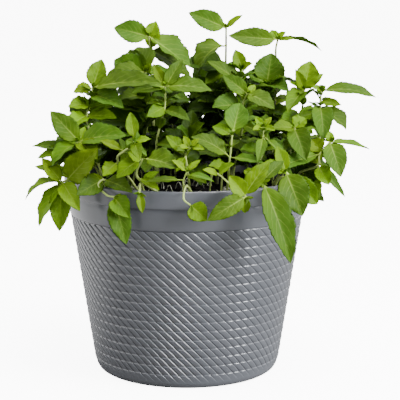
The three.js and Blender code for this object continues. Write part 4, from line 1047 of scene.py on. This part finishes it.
def small_pairs(shape, line, seed, top):
    """Small leaves in pairs, each pair a quarter turn on from the last, down the whole stem. Inside
    the plant they are larger, and a side shoot in each axil carries a second one."""
    length = np.linalg.norm(np.diff(line.at(np.linspace(0, line.last, 40)), axis=0), axis=1).sum()
    steps = max(2, int(length / SMALL_STEP))
    outward = line.outward()
    for k in range(1, steps):
        station = line.last * (k + 0.5 * (chance(seed, k, 3) - 0.5)) / steps
        base = line.at(station)[0]
        if base[2] > top:
            break
        if base[1] < BARE_FRONT[0] and base[2] < BARE_FRONT[1]:
            continue
        heading = line.heading(station)[0]
        level = unit(outward - heading * (outward @ heading))
        room = room_inside(base)
        for hand in (0, 1):
            turn = 90 * k + 180 * hand + 80 * (chance(seed, k, 7 + hand) - 0.5)
            reach = between(*SMALL_REACHES, chance(seed, k, 9 + hand)) * (1 + 0.9 * room)
            direction = raised(level, heading, turn, np.radians(30 + 45 * (chance(seed, k, 11 + hand) - 0.4)))
            direction[2] -= 0.25 * chance(seed, k, 17)
            small_leaf(shape, base, base + unit(direction) * reach, heading, seed, k)
            if room > 0.3:
                aside = turned(direction, heading, SHOOT_TURN if chance(seed, k, 19) > 0.5 else -SHOOT_TURN)
                aside[2] += 0.3 * (chance(seed, k, 25 + hand) - 0.3)
                small_leaf(shape, base, base + unit(aside) * reach * 0.8, heading, seed + 3, k)


def tip_tuft(shape, line, seed):
    """A tuft at the tip: two crossed pairs of narrow leaves that stand nearly upright."""
    base = line.at(line.last)[0]
    heading = line.heading(line.last)[0]
    level = unit(np.cross(heading, [0.3, 1, 0.2]))
    for k, (turn, lift, length) in enumerate(TUFT):
        reach = length * between(0.85, 1.15, chance(seed, k, 31))
        direction = raised(level, heading, turn + 40 * chance(seed, k, 33), np.radians(lift))
        tip = base + unit(direction) * reach
        faces = heading + np.array([0, -0.4, 0])
        leaf = {"tip": tip, "width": TUFT_WIDTH * reach, "arch": 0.12, "faces": faces}
        look = (between(0.3, 0.6, chance(seed, k, 35)), chance(seed, k, 37), 0)
        add_leaf(shape, base, leaf, look, seed + k, teeth=3, across=4, stalk=0.1)


trial = Shape()
tip_tuft(trial, plan[0]["line"], 1)
print("a tuft has", trial.count, "points")

# %% [markdown]
# ## How single stems differ
# In the photo some stems are young and yellowish, some stand in the shade of others, and some are brown
# or carry narrow leaves. The shade is painted into their leaves' colour, and some stems at the lower left
# have painted light that makes their leaves paler. One rule for all would make them alike, so what
# differs is written down.

# %% Traits of single stems
# youth_and_painted_light: how much younger, and so yellower and paler, its leaves look than their length
# says; on stems at the lower left it is raised further as painted light. shade: the least painted shade on
# its leaves. slender: the width of its leaves as a part of the table's. thick: how thick the stem is,
# where most have USUAL_THICK. brown: how brown it is. top: no small leaves grow above this height.
TRAITS = {
    "tall_left": {"youth_and_painted_light": 0.15, "thick": 1.0, "brown": 0.4, "top": 296},
    "tall_centre": {"youth_and_painted_light": 0.2, "thick": 1.05, "brown": 0.8, "top": 262},
    "tall_right": {"thick": 1.0, "brown": 0.75, "top": 264},
    # On left_mid, left, bottom_left and low_left the youth is raised further as painted light, to pale their
    # leaves.
    "left_mid": {"youth_and_painted_light": 0.2},
    "left": {"youth_and_painted_light": 0.45},
    "bottom_left": {"youth_and_painted_light": 0.75},
    "inner_left": {"youth_and_painted_light": 0.25, "slender": 0.88},
    "low_left": {"youth_and_painted_light": 0.35, "slender": 0.9},
    "left_trailing": {"youth_and_painted_light": 0.1, "thick": 0.78},
    "low_centre": {"slender": 0.74, "thick": 0.7},
    "drooping_centre": {"thick": 0.72},
    "centre_young": {"slender": 0.82},
    "centre_upright": {"slender": 0.92},
    "centre_sprig": {"slender": 0.85},
    "front_trailing": {"youth_and_painted_light": 0.4, "thick": 0.72},
    "hanging_right": {"youth_and_painted_light": -0.1, "shade": 0.2},
    "right_front": {"youth_and_painted_light": 0.35, "shade": 0.06},
    "right_inner": {"shade": 0.25},
    "right": {"youth_and_painted_light": 0.35},
    "right_upper": {"shade": 0.22, "brown": 0.4},
    "right_top": {"youth_and_painted_light": 0.3, "brown": 0.35},
    "dark_right_top": {"shade": 0.3},
    "dark_hanging": {"slender": 0.85},
    "back_top_2": {"shade": 0.35},
    "back_top_3": {"shade": 0.35},
}
USUAL_THICK = 0.9
print("stems with traits of their own:", len(TRAITS))

# %% Leaves between the others
# Leaves that only the scene has, each with its stem, then as in the table above, and its painted shade, which
# also makes it look older.
MORE_LEAVES = [
    ("tall_left", 3, 4, -4, 304, 26, 0.1, "rightUp", 0.35),
    ("tall_left", 3, -31, -4, 362, 14, 0.08, "front", 0),
    ("left_high", 2.8, -73, -28, 324, 28, 0.2, "left", 0.3),
    ("left_high", 3, -58, -26, 334, 20, 0.1, "left", 0.3),
    ("left_high", 1.3, -74, -34, 278, 18, 0.12, "mid", 0.3),
    ("left_high", 1, -68, -18, 256, 19, 0.1, "mid", 0.4),
    ("left_high", 1.6, -8, -28, 284, 18, 0.12, "mid", 0.4),
    ("tall_centre", 2.1, -2, 10, 316, 26, 0.14, "mid", 0.6),
    ("tall_centre", 1.2, 0, 18, 268, 24, 0.12, "mid", 0.7),
    ("tall_centre", 1, 14, 22, 256, 22, 0.1, "mid", 0.75),
    ("tall_centre", 1.6, 62, 30, 300, 22, 0.1, "mid", 0.6),
    ("tall_left", 1.5, 4, 14, 278, 24, 0.12, "mid", 0.6),
    ("left_high", 1.8, -72, -16, 292, 20, 0.12, "mid", 0.5),
    ("left_high", 0.9, -96, -26, 262, 24, 0.14, "mid", 0.55),
    ("left_mid", 1, -112, -30, 268, 16, 0.1, "mid", 0.4),
    ("dark_right_top", 1.5, 54, 10, 292, 26, 0.1, "mid", 0.6),
    ("back_top_3", 2.7, -2, 34, 281, 20, 0.12, "mid", 0.5),
    ("back_top_2", 2.7, 5, 30, 277, 20, 0.12, "mid", 0.5),
    ("back_top_3", 2.2, -12, 20, 264, 21, 0.12, "mid", 0.6),
    ("back_top_2", 2.2, 12, 14, 258, 21, 0.12, "mid", 0.6),
    ("back_top_4", 2.6, -66, 6, 287, 18, 0.1, "mid", 0.4),
    ("back_top_4", 2.2, -64, -6, 268, 20, 0.1, "mid", 0.5),
    ("left_mid", 1.5, -68, -44, 286, 15, 0.1, "mid", 0.2),
    ("left", 2.5, -147, -74, 231, 14, 0.14, "left", 0.2),
    ("left", 2, -138, -82, 222, 14, 0.14, "left", 0.3),
    ("right", 1.1, 130, -66, 183, 20, 0.14, "rightFront", 0.25),
    ("right_top", 0.8, 130, -10, 247, 15, 0.1, "mid", 0.2),
    ("right_upper", 2, 110, -30, 264, 16, 0.1, "mid", 0.2),
    ("right_upper", 0.4, 117, -24, 243, 20, 0.12, "mid", 0.4),
    ("right_upper", 1.8, 118, -22, 259, 18, 0.04, "front", 0.5),
    ("right", 3.2, 124, -56, 247, 16, 0.04, "front", 0.1),
    ("right", 1.1, 136, -54, 216, 18, 0.04, "front", 0.5),
    ("left_mid", 2.7, -82, -38, 294, 10, 0.04, "front", 0.4),
    ("left_mid", 1.3, -86, -40, 262, 12, 0.04, "front", 0.5),
    ("right", 2.1, 121, -56, 244, 16, 0.06, "front", 0.1),
    ("right", 0.5, 130, -58, 209, 24, 0.04, "front", 0.45),
    ("right", 0.3, 137, -66, 186, 20, 0.14, "mid", 0.5),
    ("left_mid", 1.2, -114, -34, 284, 20, 0.05, "front", 0.4),
    ("left_mid", 0.5, -114, -38, 270, 17, 0.05, "front", 0.35),
    ("centre_young", 1.7, 12, -96, 240, 13, 0.04, "front", 0.8),
    ("left_trailing", 1.2, -106, -114, 201, 19, 0.1, "front", 0.35),
]
print("leaves that only the scene has:", len(MORE_LEAVES))

# %% Building the plant
LONG_LEAF = 42


def leaf_look(traits, leaf, base, seed):
    """Age, chance and painted shade of a leaf. Long leaves are old, and those deep inside the plant are
    painted darker.
    """
    length = np.linalg.norm(leaf["tip"] - base)
    age = ease(length, 8, 46) + 0.35 * (chance(seed, 41, 1) - 0.5) - traits.get("youth_and_painted_light", 0)
    shade = max(0.8 * depth_shade((leaf["tip"] + base) / 2), traits.get("shade", 0))
    return np.clip(age, 0, 1), chance(seed, 43, 2), shade


def grown_stem(index, stem):
    """One stem with all its leaves. The stem has the piece's first material, the leaves its second."""
    shape = Shape()
    line = stem["line"]
    traits = TRAITS.get(stem["name"], {})
    brown = traits.get("brown", 0.1 * chance(index, 4, 4))
    add_stem(shape, line, brown, traits.get("thick", USUAL_THICK))
    form = {"slender": traits["slender"], "stalk": 0.16} if "slender" in traits else {}
    for k, (station, leaf) in enumerate(stem["leaves"]):
        base = line.at(station)[0]
        seed = 50 * index + k + 1
        teeth = 10 if np.linalg.norm(leaf["tip"] - base) > LONG_LEAF else 8
        add_leaf(shape, base, leaf, leaf_look(traits, leaf, base, seed), seed, teeth=teeth, **form)
    for k, (name, station, x, y, z, width, arch, facing, shade) in enumerate(MORE_LEAVES):
        if name == stem["name"]:
            leaf = table_leaf((x, y, z), width, arch, facing)
            # Painted shade darkens these leaves and ages their green.
            look = (0.1 + 1.4 * shade, chance(k, 4, 7), shade)
            add_leaf(shape, line.at(station)[0], leaf, look, 900 + k)
    small_pairs(shape, line, 50 * index + 7, traits.get("top", USUAL_TOP))
    tip_tuft(shape, line, 50 * index + 9)
    return shape


plant_shapes = [(stem["name"], grown_stem(index, stem)) for index, stem in enumerate(plan)]
print("plant points:", sum(shape.count for _, shape in plant_shapes))

# %% [markdown]
# ## Materials
# Pictures could colour the surfaces, but none may be used, and formulas stay sharp at any distance. So
# all materials are procedural: noise over the object, and values that the surfaces bring along.


# %% Helpers for materials
def new_material(name):
    """A material with an empty node tree."""
    material = bpy.data.materials.new(name)
    material.use_nodes = True
    tree = material.node_tree
    tree.nodes.clear()
    return material, tree


def add_node(tree, kind, inputs=None, **settings):
    """Adds a node. Its inputs are set to constants or linked from other sockets."""
    node = tree.nodes.new(kind)
    for key, value in settings.items():
        setattr(node, key, value)
    for key, value in (inputs or {}).items():
        socket = node.inputs[key]
        if isinstance(value, bpy.types.NodeSocket):
            tree.links.new(value, socket)
        else:
            socket.default_value = value
    return node


def shader(tree, kind, inputs):
    """One shader node's result."""
    return add_node(tree, "ShaderNode" + kind, inputs).outputs[0]


def maths(tree, operation, a, b=0.0, c=0.0):
    """One Math node's result."""
    return add_node(tree, "ShaderNodeMath", {0: a, 1: b, 2: c}, operation=operation).outputs[0]


def mixed(tree, factor, a, b):
    """Two colours mixed by a factor. A Mix node has its sockets for colours at 6 and 7."""
    return add_node(tree, "ShaderNodeMix", {"Factor": factor, 6: a, 7: b}, data_type="RGBA").outputs[2]


def ramp(tree, value, low, high, to_low=0.0, to_high=1.0):
    """A value carried smoothly from one range to another."""
    inputs = {"Value": value, "From Min": low, "From Max": high, "To Min": to_low, "To Max": to_high}
    return add_node(tree, "ShaderNodeMapRange", inputs, interpolation_type="SMOOTHSTEP").outputs["Result"]


def object_place(tree):
    """The place on the object, in metres."""
    return add_node(tree, "ShaderNodeTexCoord").outputs["Object"]


def apart(tree, vector):
    """The X, Y and Z of a vector, as a node's outputs."""
    return add_node(tree, "ShaderNodeSeparateXYZ", {"Vector": vector}).outputs


def object_noise(tree, scale, detail=3.0, rough=0.55):
    """Noise over the place on the object."""
    inputs = {"Vector": object_place(tree), "Scale": scale, "Detail": detail, "Roughness": rough}
    return add_node(tree, "ShaderNodeTexNoise", inputs).outputs["Fac"]


def bumps(tree, strength, distance, height):
    """The normal that a height gives to a flat surface."""
    inputs = {"Strength": strength, "Distance": distance, "Height": height}
    return add_node(tree, "ShaderNodeBump", inputs).outputs["Normal"]


def put_out(tree, kind, result):
    """Links a shader to the tree's output: Material for a surface, World for the room."""
    add_node(tree, "ShaderNodeOutput" + kind, {"Surface": result})


# %% [markdown]
# ## The mint's green
# Old mint leaves are dark, young ones yellowish, and the midrib and side veins are paler. Old leaves are
# also mixed towards a pale grey-green as a painted sheen, and leaves deep in the plant get painted shade.
# The veins have to meet the swellings of the blade, so they are worked out from the leaf's own map by the
# formula that shapes it. They are one node group, used for the colour and for the bumps. Thin leaves also
# let some light through, so a part of the surface is translucent.


# %% The leaf's veins
def vein_group():
    """Masks of a leaf's veins from its own map: U runs from stalk to tip, V from edge to edge. A side
    vein is where the sine of the place along the leaf, less the veins' lean, is near zero."""
    tree = bpy.data.node_groups.new("leaf_veins", "ShaderNodeTree")
    for way, names in (("INPUT", ("U", "V")), ("OUTPUT", ("Midrib", "Side veins", "Edge"))):
        for name in names:
            tree.interface.new_socket(name, in_out=way, socket_type="NodeSocketFloat")
    given = add_node(tree, "NodeGroupInput").outputs
    across = maths(tree, "ABSOLUTE", maths(tree, "MULTIPLY_ADD", given["V"], 2.0, -1.0))
    width = ramp(tree, given["U"], 0.0, 1.0, 0.085, 0.03)
    midrib = maths(tree, "SUBTRACT", 1.0, maths(tree, "DIVIDE", across, width))
    bent = maths(tree, "MULTIPLY", maths(tree, "POWER", across, 1.3), VEIN_LEAN)
    eased = maths(tree, "MULTIPLY_ADD", across, -0.08, 0.08)
    along = maths(tree, "SUBTRACT", maths(tree, "SUBTRACT", given["U"], bent), eased)
    wave = maths(tree, "ABSOLUTE", maths(tree, "SINE", maths(tree, "MULTIPLY", along, VEIN_PAIRS * np.pi)))
    side = ramp(tree, wave, 0.0, 0.34, 1.0, 0.0)
    fade = ramp(tree, across, 0.4, 0.98, 1.0, 0.0)
    add_node(tree, "NodeGroupOutput", {
        "Midrib": maths(tree, "MAXIMUM", midrib, 0.0),
        "Side veins": maths(tree, "MULTIPLY", side, fade),
        "Edge": ramp(tree, across, 0.86, 1.0),
    })
    return tree


veins = vein_group()
print("vein masks:", len(veins.nodes), "nodes")

# %% The leaf's green
# Each colour is red, green and blue as parts of white light, and the last number makes it opaque.
YOUNG = (0.146, 0.264, 0.0, 1)
MATURE = (0.053, 0.115, 0.013, 1)
# A painted sheen that old leaves are mixed part way to, and also the underside's own paler green.
SHEEN_AND_UNDERSIDE = (0.08, 0.15, 0.014, 1)
VEIN = (0.32, 0.44, 0.07, 1)
# A near-black green: the darker leaf edges, and painted shade for leaves deep in the plant.
EDGE_AND_PAINTED_SHADE = (0.012, 0.03, 0.002, 1)
SHINING_THROUGH = (0.25, 0.42, 0.0, 1)
LET_THROUGH = 0.3


def surface_look(tree):
    """The values that leaves and stems bring along: three as a colour's parts, and a fourth one."""
    look = add_node(tree, "ShaderNodeAttribute", attribute_name="leaf_look").outputs
    parts = add_node(tree, "ShaderNodeSeparateColor", {"Color": look["Color"]}).outputs
    return parts["Red"], parts["Green"], parts["Blue"], look["Alpha"]


def leaf_material():
    """Green by age, varied by chance, with pale veins, a paler underside, a painted sheen on old leaves and
    painted shade. A part of the light passes through.
    """
    material, tree = new_material("mint_leaf")
    age, luck, shade, under = surface_look(tree)
    leaf_map = apart(tree, add_node(tree, "ShaderNodeUVMap", uv_map="leaf_map").outputs["UV"])
    from_stalk = leaf_map["X"]
    masks = add_node(tree, "ShaderNodeGroup", {"U": from_stalk, "V": leaf_map["Y"]}, node_tree=veins).outputs
    cloud = object_noise(tree, 90.0)
    aged = maths(tree, "ADD", age, maths(tree, "MULTIPLY_ADD", cloud, 0.5, -0.25))
    colour = mixed(tree, ramp(tree, aged, 0.0, 0.75), YOUNG, MATURE)
    # Old leaves are mixed part way to a pale grey-green: a painted sheen.
    colour = mixed(tree, maths(tree, "MULTIPLY", ramp(tree, aged, 0.45, 1.0), 0.45), colour, SHEEN_AND_UNDERSIDE)
    varied = add_node(tree, "ShaderNodeHueSaturation", {
        "Hue": maths(tree, "MULTIPLY_ADD", luck, 0.022, 0.489),
        "Saturation": 1.04,
        "Value": maths(tree, "MULTIPLY_ADD", luck, 0.36, 0.82),
        "Color": colour,
    }).outputs["Color"]
    based = mixed(tree, ramp(tree, from_stalk, 0.0, 0.45, 0.35, 0.0), varied, YOUNG)
    pale = mixed(tree, maths(tree, "MULTIPLY", under, 0.35), based, SHEEN_AND_UNDERSIDE)
    rib = maths(tree, "MULTIPLY", masks["Midrib"], ramp(tree, from_stalk, 0.0, 0.6, 0.85, 0.4))
    vein = maths(tree, "MAXIMUM", rib, maths(tree, "MULTIPLY", masks["Side veins"], 0.27))
    stalk = ramp(tree, from_stalk, 0.0, 0.03, 0.85, 0.0)
    veined = mixed(tree, maths(tree, "MAXIMUM", vein, stalk), pale, VEIN)
    edged = mixed(tree, maths(tree, "MULTIPLY", masks["Edge"], 0.6), veined, EDGE_AND_PAINTED_SHADE)
    # Painted shade: leaves deep in the plant, or given shade by their stem, are mixed towards near-black.
    shaded = mixed(tree, shade, edged, EDGE_AND_PAINTED_SHADE)
    grain = maths(tree, "MULTIPLY", object_noise(tree, 1400.0, 2.0), 0.35)
    height = maths(tree, "ADD", maths(tree, "MULTIPLY", masks["Side veins"], -0.6), grain)
    normal = bumps(tree, 0.35, 0.0005, height)
    surface = shader(tree, "BsdfPrincipled", {
        "Base Color": shaded,
        "Roughness": ramp(tree, age, 0.0, 1.0, 0.42, 0.5),
        "Specular IOR Level": 0.09,
        "Normal": normal,
    })
    # The light let through takes the same painted shade.
    lit = mixed(tree, shade, mixed(tree, 0.5, shaded, SHINING_THROUGH), EDGE_AND_PAINTED_SHADE)
    through = shader(tree, "BsdfTranslucent", {"Color": lit, "Normal": normal})
    put_out(tree, "Material", shader(tree, "MixShader", {0: LET_THROUGH, 1: surface, 2: through}))
    return material


leaf_green = leaf_material()
print(leaf_green.name + ":", len(leaf_green.node_tree.nodes), "nodes")

# %% The stem's green
STEM_LOW = (0.3, 0.38, 0.10, 1)
STEM_HIGH = (0.33, 0.45, 0.09, 1)
STEM_BROWN = (0.045, 0.03, 0.022, 1)


def stem_material():
    """Pale green, paler towards the tip, and purplish brown where the stem's own value says so."""
    material, tree = new_material("mint_stem")
    brown, _, _, along = surface_look(tree)
    green = mixed(tree, ramp(tree, along, 0.0, 1.0), STEM_LOW, STEM_HIGH)
    streaks = object_noise(tree, 300.0)
    dark = maths(tree, "MULTIPLY", brown, ramp(tree, streaks, 0.2, 0.6))
    put_out(tree, "Material", shader(tree, "BsdfPrincipled", {
        "Base Color": mixed(tree, dark, green, STEM_BROWN),
        "Roughness": 0.42,
        "Specular IOR Level": 0.4,
    }))
    return material


stem_green = stem_material()
print(stem_green.name + ":", len(stem_green.node_tree.nodes), "nodes")

# %% [markdown]
# ## Plastic, soil and roots
# The planter is satin grey plastic, a little bluish, and looks almost black in its grooves, where little
# light comes. The render alone leaves them too pale, so the wall brings along how deep each point lies
# and the plastic's colour is darkened there as painted shade.
# The soil is nearly black with brown lumps, and the root threads on it are pale.

# %% The planter's plastic
PLASTIC_DARK = (0.082, 0.086, 0.096, 1)
PLASTIC_PALE = (0.092, 0.096, 0.107, 1)
# Painted shade: the near-black that the grooves are mixed towards, by how deep a point lies.
GROOVE_PAINTED_SHADE = (0.012, 0.012, 0.014, 1)


def pot_material():
    """Bluish grey plastic with a satin finish and a faint mottle, with painted shade darkening the grooves.
    """
    material, tree = new_material("planter_plastic")
    mottle = object_noise(tree, 14.0, 1.0)
    plain = mixed(tree, ramp(tree, mottle, 0.2, 0.8), PLASTIC_DARK, PLASTIC_PALE)
    depth = add_node(tree, "ShaderNodeAttribute", attribute_name="groove_depth").outputs["Fac"]
    put_out(tree, "Material", shader(tree, "BsdfPrincipled", {
        "Base Color": mixed(tree, ramp(tree, depth, 0.3, 1.0, 0.0, 0.85), plain, GROOVE_PAINTED_SHADE),
        "Roughness": ramp(tree, mottle, 0.2, 0.8, 0.2, 0.23),
        "Specular IOR Level": 0.6,
    }))
    return material


plastic = pot_material()
print(plastic.name + ":", len(plastic.node_tree.nodes), "nodes")

# %% Soil and root threads
SOIL_DARK = (0.005, 0.004, 0.003, 1)
SOIL_BROWN = (0.022, 0.016, 0.01, 1)
ROOT_PALE = (0.62, 0.62, 0.5, 1)
ROOT_DARK = (0.4, 0.4, 0.28, 1)


def soil_material():
    """Nearly black, crumbly, with brown lumps."""
    material, tree = new_material("potting_soil")
    lumps = object_noise(tree, 260.0, 5.0, 0.7)
    grains = object_noise(tree, 1100.0, 3.0, 0.7)
    put_out(tree, "Material", shader(tree, "BsdfPrincipled", {
        "Base Color": mixed(tree, ramp(tree, lumps, 0.45, 0.75), SOIL_DARK, SOIL_BROWN),
        "Roughness": 0.95,
        "Specular IOR Level": 0.15,
        "Normal": bumps(tree, 0.9, 0.0012, maths(tree, "ADD", lumps, grains)),
    }))
    return material


def root_material():
    """Pale, slightly brown threads."""
    material, tree = new_material("root_threads")
    streaks = ramp(tree, object_noise(tree, 500.0), 0.3, 0.7)
    put_out(tree, "Material", shader(tree, "BsdfPrincipled", {
        "Base Color": mixed(tree, streaks, ROOT_PALE, ROOT_DARK),
        "Roughness": 0.6,
    }))
    return material


soil_black = soil_material()
root_threads = root_material()
print(soil_black.name + ":", len(soil_black.node_tree.nodes), "nodes")

# %% [markdown]
# ## Putting the pieces on the frame
# Each piece is made where it belongs, so its object sits at the origin. It rides the one body of the
# CAD model and takes the place of one CAD node.

# %% The pieces on the frame
keep(pot_shape.build("planter", plastic), "pot")
keep(soil_shape.build("potting_soil", soil_black, root_threads), "soil")
for name, shape in plant_shapes:
    keep(shape.build("mint_" + name, stem_green, leaf_green), "stem_" + name)

# %% [markdown]
# ## Studio
# The photo shows the planter on pure white, with a faint shadow and soft light from the right and above.
# A white wall round it would also light its front, which is dark. So the floor and the room look white to
# the camera alone: all other light sees a dull floor and a room that is brightest behind and at the sides.

# %% The floor
FLOOR_SIZE = 40.0
FLOOR_GREY = (0.18, 0.18, 0.18, 1)
FLOOR_PALE = (0.85, 0.85, 0.85, 1)
FLOOR_GLOW = 8.5
WHITE = (1, 1, 1, 1)


def seen_by_camera(tree):
    """1 for light that goes straight to the camera, 0 for all other light."""
    return add_node(tree, "ShaderNodeLightPath").outputs["Is Camera Ray"]


def glowing(tree, colour, strength):
    """A dull surface that also gives off white light."""
    dull = shader(tree, "BsdfDiffuse", {"Color": colour})
    glow = shader(tree, "Emission", {"Color": WHITE, "Strength": strength})
    return shader(tree, "AddShader", {0: dull, 1: glow})


def white_floor():
    """A flat square of floor. The camera sees it lifted almost to white, with a faint shadow left.
    To all other light it is a dull grey, so that little of it comes up at the planter, with some
    sheen behind it and to its left."""
    corners = [(-FLOOR_SIZE, -FLOOR_SIZE, 0), (FLOOR_SIZE, -FLOOR_SIZE, 0),
               (FLOOR_SIZE, FLOOR_SIZE, 0), (-FLOOR_SIZE, FLOOR_SIZE, 0)]
    mesh = bpy.data.meshes.new("floor")
    mesh.from_pydata(corners, [], [(0, 1, 2, 3)])
    material, tree = new_material("floor_white")
    place = apart(tree, object_place(tree))
    aside = maths(tree, "MULTIPLY_ADD", place["Y"], 0.8, maths(tree, "MULTIPLY", place["X"], -1.0))
    dull = glowing(tree, FLOOR_GREY, ramp(tree, aside, 0.05, 0.5, 0.0, 1.25))
    lifted = glowing(tree, FLOOR_PALE, FLOOR_GLOW)
    put_out(tree, "Material", shader(tree, "MixShader", {0: seen_by_camera(tree), 1: dull, 2: lifted}))
    mesh.materials.append(material)
    floor = bpy.data.objects.new("floor", mesh)
    bpy.context.scene.collection.objects.link(floor)
    return floor


print("floor's width in metres:", white_floor().dimensions.x)

# %% The room
ROOM_WHITE = 10.0


def white_room():
    """The world's light by direction: strongest overhead and behind, some from the right, and dim
    in front, so that the planter's front stays dark. The camera sees plain white."""
    world = bpy.data.worlds.new("room")
    bpy.context.scene.world = world
    world.use_nodes = True
    tree = world.node_tree
    tree.nodes.clear()
    direction = apart(tree, add_node(tree, "ShaderNodeTexCoord").outputs["Generated"])
    behind = ramp(tree, direction["Y"], -0.2, 0.8, 0.25, 1.5)
    above = ramp(tree, direction["Z"], 0.25, 0.95, 0.0, 1.0)
    right = ramp(tree, direction["X"], 0.2, 0.95, 0.0, 2.2)
    low = ramp(tree, direction["Z"], 0.35, 0.75, 1.0, 0.0)
    left = maths(tree, "MULTIPLY", ramp(tree, direction["X"], -0.98, -0.5, 3.4, 0.0), low)
    light = maths(tree, "ADD", maths(tree, "ADD", behind, above), maths(tree, "ADD", right, left))
    # A Mix node has its sockets for numbers at 2 and 3.
    choice = {0: seen_by_camera(tree), 2: light, 3: ROOM_WHITE}
    strength = add_node(tree, "ShaderNodeMix", choice, data_type="FLOAT").outputs[0]
    put_out(tree, "World", shader(tree, "Background", {"Color": WHITE, "Strength": strength}))
    return world


print("room's nodes:", len(white_room().node_tree.nodes))

# %% Lamps
# Each lamp: name, where it stands, what it faces, its width, its power and its colour, in metres and watts.
LAMPS = [
    ("lamp_right", (1.4, -1.0, 0.75), (0, 0, 0.12), 0.8, 82, (0.94, 0.97, 1.0)),
    ("lamp_top", (0.3, -0.6, 1.9), (0, 0, 0.25), 0.9, 52, (1.0, 0.99, 0.95)),
]


def place_facing(thing, place, axes):
    """Adds an object to the scene at a place, turned so that its own axes lie along three directions."""
    thing.matrix_world = Matrix.Translation(place) @ Matrix(np.stack(axes, -1).tolist()).to_4x4()
    bpy.context.scene.collection.objects.link(thing)


def soft_lamp(name, place, aim, size, power, colour):
    """A square lamp that faces a point."""
    lamp = bpy.data.lights.new(name, "AREA")
    lamp.shape = "SQUARE"
    lamp.size = size
    lamp.energy = power
    lamp.color = colour
    back = unit(np.array(place, float) - np.array(aim, float))
    side = unit(np.cross((0, 0, 1), back))
    place_facing(bpy.data.objects.new(name, lamp), place, [side, np.cross(back, side), back])


for lamp in LAMPS:
    soft_lamp(*lamp)
print("lamps:", len(LAMPS))

# %% [markdown]
# ## Camera
# The photo was taken from in front and a little above, with a long lens. The ellipses of the rim, the
# band and the foot in the photo give the camera's height, its slope and its distance.

# %% The camera
CAMERA_PLACE = np.array([0, -1.4645, 0.4344])
CAMERA_DOWN = np.radians(10.01)
CAMERA_TURN = np.radians(0.54)
SENSOR_WIDTH = 36
LENS = 128.33
level = np.array([np.sin(CAMERA_TURN), np.cos(CAMERA_TURN), 0])
ahead = np.cos(CAMERA_DOWN) * level - np.array([0, 0, np.sin(CAMERA_DOWN)])
right = np.array([level[1], -level[0], 0])
camera_data = bpy.data.cameras.new("camera")
camera_data.sensor_width = SENSOR_WIDTH
camera_data.lens = LENS
camera_data.clip_start = 0.05
camera_data.clip_end = 100
camera = bpy.data.objects.new("camera", camera_data)
place_facing(camera, CAMERA_PLACE, [right, np.cross(right, ahead), -ahead])
bpy.context.scene.camera = camera
print("camera distance in mm:", round(float(np.linalg.norm(CAMERA_PLACE)) / MM))
